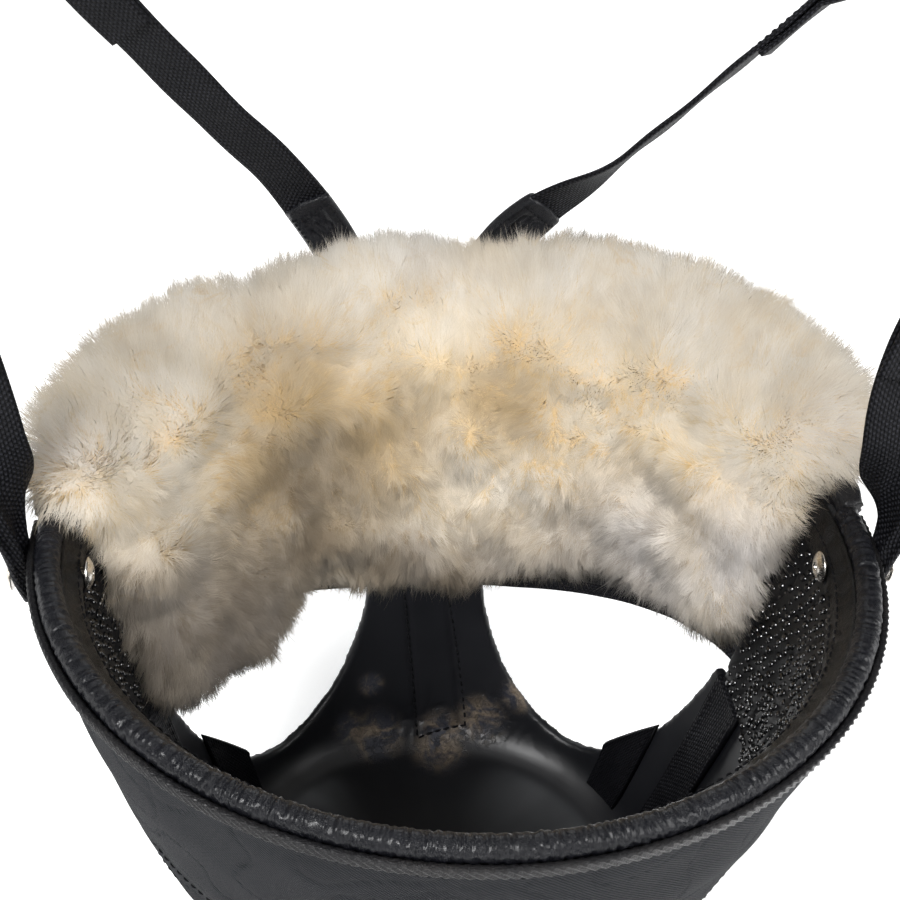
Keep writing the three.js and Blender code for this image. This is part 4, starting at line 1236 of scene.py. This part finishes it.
def wool_body():
    """The pad's soft inner mass: a crowned roll that swells in a short cloth run, then gets lumps."""
    degrees, share = np.linspace(*WOOL_ENDS, 130), np.linspace(-1, 1, 130)
    top, low = wool_outline(degrees)
    close = np.sqrt(np.clip(1 - np.abs(share) ** 10, 0.0, 1))
    ledge = noseband_top(np.clip(degrees, *NOSEBAND_ENDS)) + 5
    sections = np.stack([wool_section(*row) for row in zip(top, low, ledge, close)])
    rings = wall(degrees[:, None], sections[..., 1], sections[..., 0])
    pad = scratch("pad", rings.reshape(-1, 3), loft_faces(*sections.shape[:2]))
    remesh = pad.modifiers.new("remesh", "REMESH")
    remesh.mode, remesh.voxel_size = "VOXEL", 0.004
    mesh = evaluated(pad)
    pad = link_object("wool_body", mesh)
    before = vertices(mesh)
    cloth = pad.modifiers.new("cloth", "CLOTH")
    cloth.settings.use_pressure, cloth.settings.uniform_pressure_force = True, 4.0
    cloth.settings.effector_weights.gravity = 0.0
    for step in range(1, 21):
        bpy.context.scene.frame_set(step)
    puffed = applied(pad)
    pad.modifiers.clear()
    bpy.context.scene.frame_set(1)
    move = vertices(puffed) - before
    length = np.linalg.norm(move, axis=1, keepdims=True)
    co = before + move * np.minimum(1, 0.002 / np.maximum(length, 1e-9))
    mesh.vertices.foreach_set("co", co.astype(np.float32).ravel())
    mesh.update()
    subdivide = pad.modifiers.new("smooth", "SUBSURF")
    subdivide.levels = subdivide.render_levels = 2
    mesh = evaluated(pad)
    co, normal = skin_of(mesh)
    angle = np.degrees(np.arctan2(co[:, 1], co[:, 0]))
    lift = 1.3 * ripple(angle * 1.5, co[:, 2], 28, 51) + 0.12 * ripple(angle * 1.5, co[:, 2], 10, 52)
    lift -= 3.2 * np.exp(-((angle - 121) / 5.5) ** 2) * (1 - smooth_step(co[:, 2], 112, 146))
    behind = smooth_step(outwardness(normal, angle), 0.2, 0.7)
    set_places(mesh, co + normal * (lift * (1 - behind))[:, None])
    chart(mesh)
    body = dress("fleece_pile", mesh, WOOL)
    return body


def sample_skin(mesh, count, rng):
    """Random places over a mesh, evenly by area, with smooth normals; none where it faces the noseband."""
    mesh.calc_loop_triangles()
    tri = np.zeros(len(mesh.loop_triangles) * 3, np.int32)
    mesh.loop_triangles.foreach_get("vertices", tri)
    tri = tri.reshape(-1, 3)
    co, normal = skin_of(mesh)
    a, b, c = (co[tri[:, k]] for k in range(3))
    area = np.linalg.norm(np.cross(b - a, c - a), axis=1)
    middle, facing = (a + b + c) / 3, unit(normal[tri].sum(1))
    radial = unit(middle * [1, 1, 0])
    outward = np.sum(facing * radial, 1)
    hidden = smooth_step(outward, 0.35, 0.75) * (middle[:, 2] < 170)
    area = area * (1 - hidden) * (1 - smooth_step(-facing[:, 2], 0.3, 0.7) * (middle[:, 2] > 150))
    pick = rng.choice(len(tri), count, p=area / area.sum())
    share = rng.uniform(0, 1, (count, 2))
    share = np.where(share.sum(1, keepdims=True) > 1, 1 - share, share)
    weight = np.concatenate([1 - share.sum(1, keepdims=True), share], 1)[..., None]
    return (co[tri[pick]] * weight).sum(1), unit((normal[tri[pick]] * weight).sum(1))


def nearest(places, seeds):
    tree = kdtree.KDTree(len(seeds))
    for k, seed in enumerate(seeds):
        tree.insert(seed, k)
    tree.balance()
    return np.fromiter((tree.find(p)[1] for p in places), np.int64, len(places))


def tufting(u, v):
    """How the wool leans round and up the pad: away from its partings, towards the tufts between them."""
    swells = ((34, 61, 0.5), (13, 62, 0.32), (5, 63, 0.1))
    out = np.zeros((2, len(u)))
    for size, seed, weight in swells:
        out[0] += weight * (ripple(u + 0.4, v, size, seed) - ripple(u - 0.4, v, size, seed)) / 0.8
        out[1] += weight * (ripple(u, v + 0.4, size, seed) - ripple(u, v - 0.4, size, seed)) / 0.8
    return out


def grow_wool(skin, count, pieces):
    """Wool fibres as thin tapering blades, drawn together in small locks that lean with the tufts."""
    rng = np.random.default_rng(77)
    root, normal = sample_skin(skin.data, count, rng)
    lock = nearest(root, root[:LOCKS])
    angle = np.degrees(np.arctan2(root[:, 1], root[:, 0]))
    u, v = angle * 1.5, root[:, 2]
    around = unit(np.cross([0, 0, 1.0], root * [1, 1, 0]))
    rise = smooth_step(normal[:, 2], 0.1, 0.8)
    end = smooth_step(np.abs(angle - 91), 66, 84) * np.sign(angle - 91)
    slant, climb = tufting(u, v)
    climb = climb + 0.2 * ripple(u, v, 44, 64) - 0.4 + 0.8 * smooth_step(v, 125, 172) + 0.2 * rise
    slant = slant + 0.3 * ripple(u, v, 50, 65) + 0.9 * end
    flare = unit(root * [1, 1, 0]) * (0.55 * rise)[:, None]
    curl = (1 - 0.5 * smooth_step(v, 120, 165))[:, None]
    lean = unit(normal + around * slant[:, None] + np.array([0, 0, 1.0]) * climb[:, None] + flare
                + (0.19 * rng.standard_normal((LOCKS, 3)))[lock] * curl)
    reach = WOOL_REACH * (1 + 0.1 * ripple(u, v, 13, 66) + 0.15 * np.abs(end)
                          + 0.25 * smooth_step(np.abs(normal[:, 2]), 0.3, 0.9))
    stray = rng.uniform(0, 1, count) < 0.08
    length = (reach * rng.uniform(0.78, 1.04, count) * rng.uniform(0.9, 1.08, LOCKS)[lock]
              * np.where(stray, 1.3, 1))
    tip = root + unit(lean + 0.15 * rng.standard_normal((count, 3))) * length[:, None]
    centre = root[lock] + lean[lock] * length[:, None]
    gather = (rng.uniform(0.06, 0.34, count) * np.where(stray, 0.2, 1))[:, None] * curl
    tip = tip + (centre - tip) * gather + 0.2 * rng.standard_normal((count, 3))
    bow = root + unit(normal + 0.35 * lean) * (0.5 * length)[:, None] + 0.25 * rng.standard_normal((count, 3))
    t = np.array(BLADE_LEVELS)[None, :, None]
    spine = (1 - t) ** 2 * root[:, None] + 2 * t * (1 - t) * bow[:, None] + t**2 * tip[:, None]
    spine[:, 1:3] += 0.1 * rng.standard_normal((count, 2, 3))
    facing = unit(normal + 0.9 * BLADE_FACING + 0.3 * rng.standard_normal((count, 3)))
    side = unit(np.cross(facing, tip - root))
    width = (rng.uniform(0.045, 0.085, count)[:, None] * np.array([1, 1, 0.75, 0])[None])[..., None]
    soft = unit(normal + 0.16 * (lean - normal) + 0.04 * (tip - centre)
                + 0.05 * rng.standard_normal((count, 3))
                + (0.12 * rng.standard_normal((LOCKS, 3)))[lock] * curl)
    left, right = spine - side[:, None] * width, spine + side[:, None] * width
    points = np.concatenate([left[:, :3], right[:, :3], spine[:, 3:]], 1)
    shade = 0.6 * rng.uniform(0, 1, LOCKS)[lock] + 0.4 * rng.uniform(0, 1, count)
    level = np.array([*BLADE_LEVELS[:3], *BLADE_LEVELS])
    quads, tips = np.array([[0, 1, 4, 3], [1, 2, 5, 4]]), np.array([[2, 6, 5]])
    share = count // pieces
    for k in range(pieces):
        part = slice(k * share, (k + 1) * share)
        base = np.arange(share)[:, None, None] * BLADE_POINTS
        faces = [(quads[None] + base).reshape(-1, 4), (tips[None] + base).reshape(-1, 3)]
        order = np.concatenate([f.ravel() for f in faces])
        surface = np.stack([np.repeat(shade[part], BLADE_POINTS), np.tile(level, share)], 1)[order]
        place = points[part].reshape(-1, 3)
        turn = np.degrees(np.arctan2(place[:, 1], place[:, 0]))
        bake = np.stack([turn / 200 + 0.05, (place[:, 2] - 45) / 165], 1)[order]
        piece = mesh_piece(f"fleece_fibres_{k + 1}", place, faces, surface, bake, FIBRE)
        piece.data.normals_split_custom_set_from_vertices(np.repeat(soft[part], BLADE_POINTS, 0))
        piece.visible_shadow = False


grow_wool(wool_body(), *(((273000, 7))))

# ------------------------------------------------------------------ floor, light and camera
def stage_floor():
    mesh = bpy.data.meshes.new("floor")
    mesh.from_pydata([(-30, -30, 0), (30, -30, 0), (30, 30, 0), (-30, 30, 0)], [], [(0, 1, 2, 3)])
    floor = link_object("floor", mesh)
    material = bpy.data.materials.new("floor")
    material.use_nodes = True
    shader = material.node_tree.nodes["Principled BSDF"]
    shader.inputs["Base Color"].default_value = (0.95, 0.95, 0.95, 1)
    shader.inputs["Roughness"].default_value = 0.9
    shader.inputs["Emission Color"].default_value = (1, 1, 1, 1)
    nodes, links = material.node_tree.nodes, material.node_tree.links
    away, glow = nodes.new("ShaderNodeVectorMath"), nodes.new("ShaderNodeMapRange")
    away.operation = "LENGTH"
    for socket, value in zip(glow.inputs[1:5], (1.5, 5.0, 0.4, 0.88)):
        socket.default_value = value
    links.new(nodes.new("ShaderNodeTexCoord").outputs["Object"], away.inputs[0])
    links.new(away.outputs["Value"], glow.inputs[0])
    links.new(glow.outputs[0], shader.inputs["Emission Strength"])
    mesh.materials.append(material)


def area_light(name, place, aim, size, power, colour=(1, 1, 1)):
    light = bpy.data.lights.new(name, "AREA")
    light.shape, light.size, light.energy, light.color = "DISK", size, power, colour
    lamp = link_object(name, light)
    lamp.location = place
    lamp.rotation_euler = (Vector(place) - Vector(aim)).to_track_quat("Z", "Y").to_euler()


stage_floor()
world = bpy.data.worlds.new("studio")
world.use_nodes = True
sky = world.node_tree.nodes["Background"]
sky.inputs["Color"].default_value = (0.97, 0.985, 1.0, 1)
sky.inputs["Strength"].default_value = 0.92
bpy.context.scene.world = world
world.cycles_visibility.glossy = world.cycles_visibility.diffuse = False
area_light("key", (-0.75, -0.8, 1.2), (0, 0.03, 0.12), 0.7, 30.5)
area_light("fill", (0.95, -0.65, 0.8), (0, 0.03, 0.12), 0.8, 16)
area_light("overhead", (0, 0.3, 2.6), (0, 0, 0.1), 3.0, 16)
area_light("front", (-0.1, -2.4, 1.3), (0, 0, 0.12), 2.0, 14.5)
area_light("back", (0.15, 1.1, 0.95), (0, 0, 0.12), 0.8, 5, (0.95, 0.98, 1.0))

AZIMUTH, ELEVATION, ROLL = math.radians(-7.8), math.radians(38.0), math.radians(4.8)
DISTANCE, TARGET = 416.0, np.array([-1.9, 33.2, 162.3])
lens = bpy.data.cameras.new("camera")
lens.sensor_width, lens.lens, lens.clip_start = 36.0, 36.0 * 1436 / 900, 0.01
camera = link_object("camera", lens)
back_way = Vector((math.sin(AZIMUTH) * math.cos(ELEVATION), -math.cos(AZIMUTH) * math.cos(ELEVATION),
                   math.sin(ELEVATION)))
right = Vector((math.cos(AZIMUTH), math.sin(AZIMUTH), 0))
up = back_way.cross(right)
rolled_right = right * math.cos(ROLL) + up * math.sin(ROLL)
rolled_up = up * math.cos(ROLL) - right * math.sin(ROLL)
eye = Vector(to_frame(TARGET)) + back_way * (DISTANCE / 1000)
turned = Matrix((rolled_right, rolled_up, back_way)).transposed().to_4x4()
camera.matrix_world = Matrix.Translation(eye) @ turned
bpy.context.scene.camera = camera
bpy.context.scene.view_settings.view_transform = "Standard"
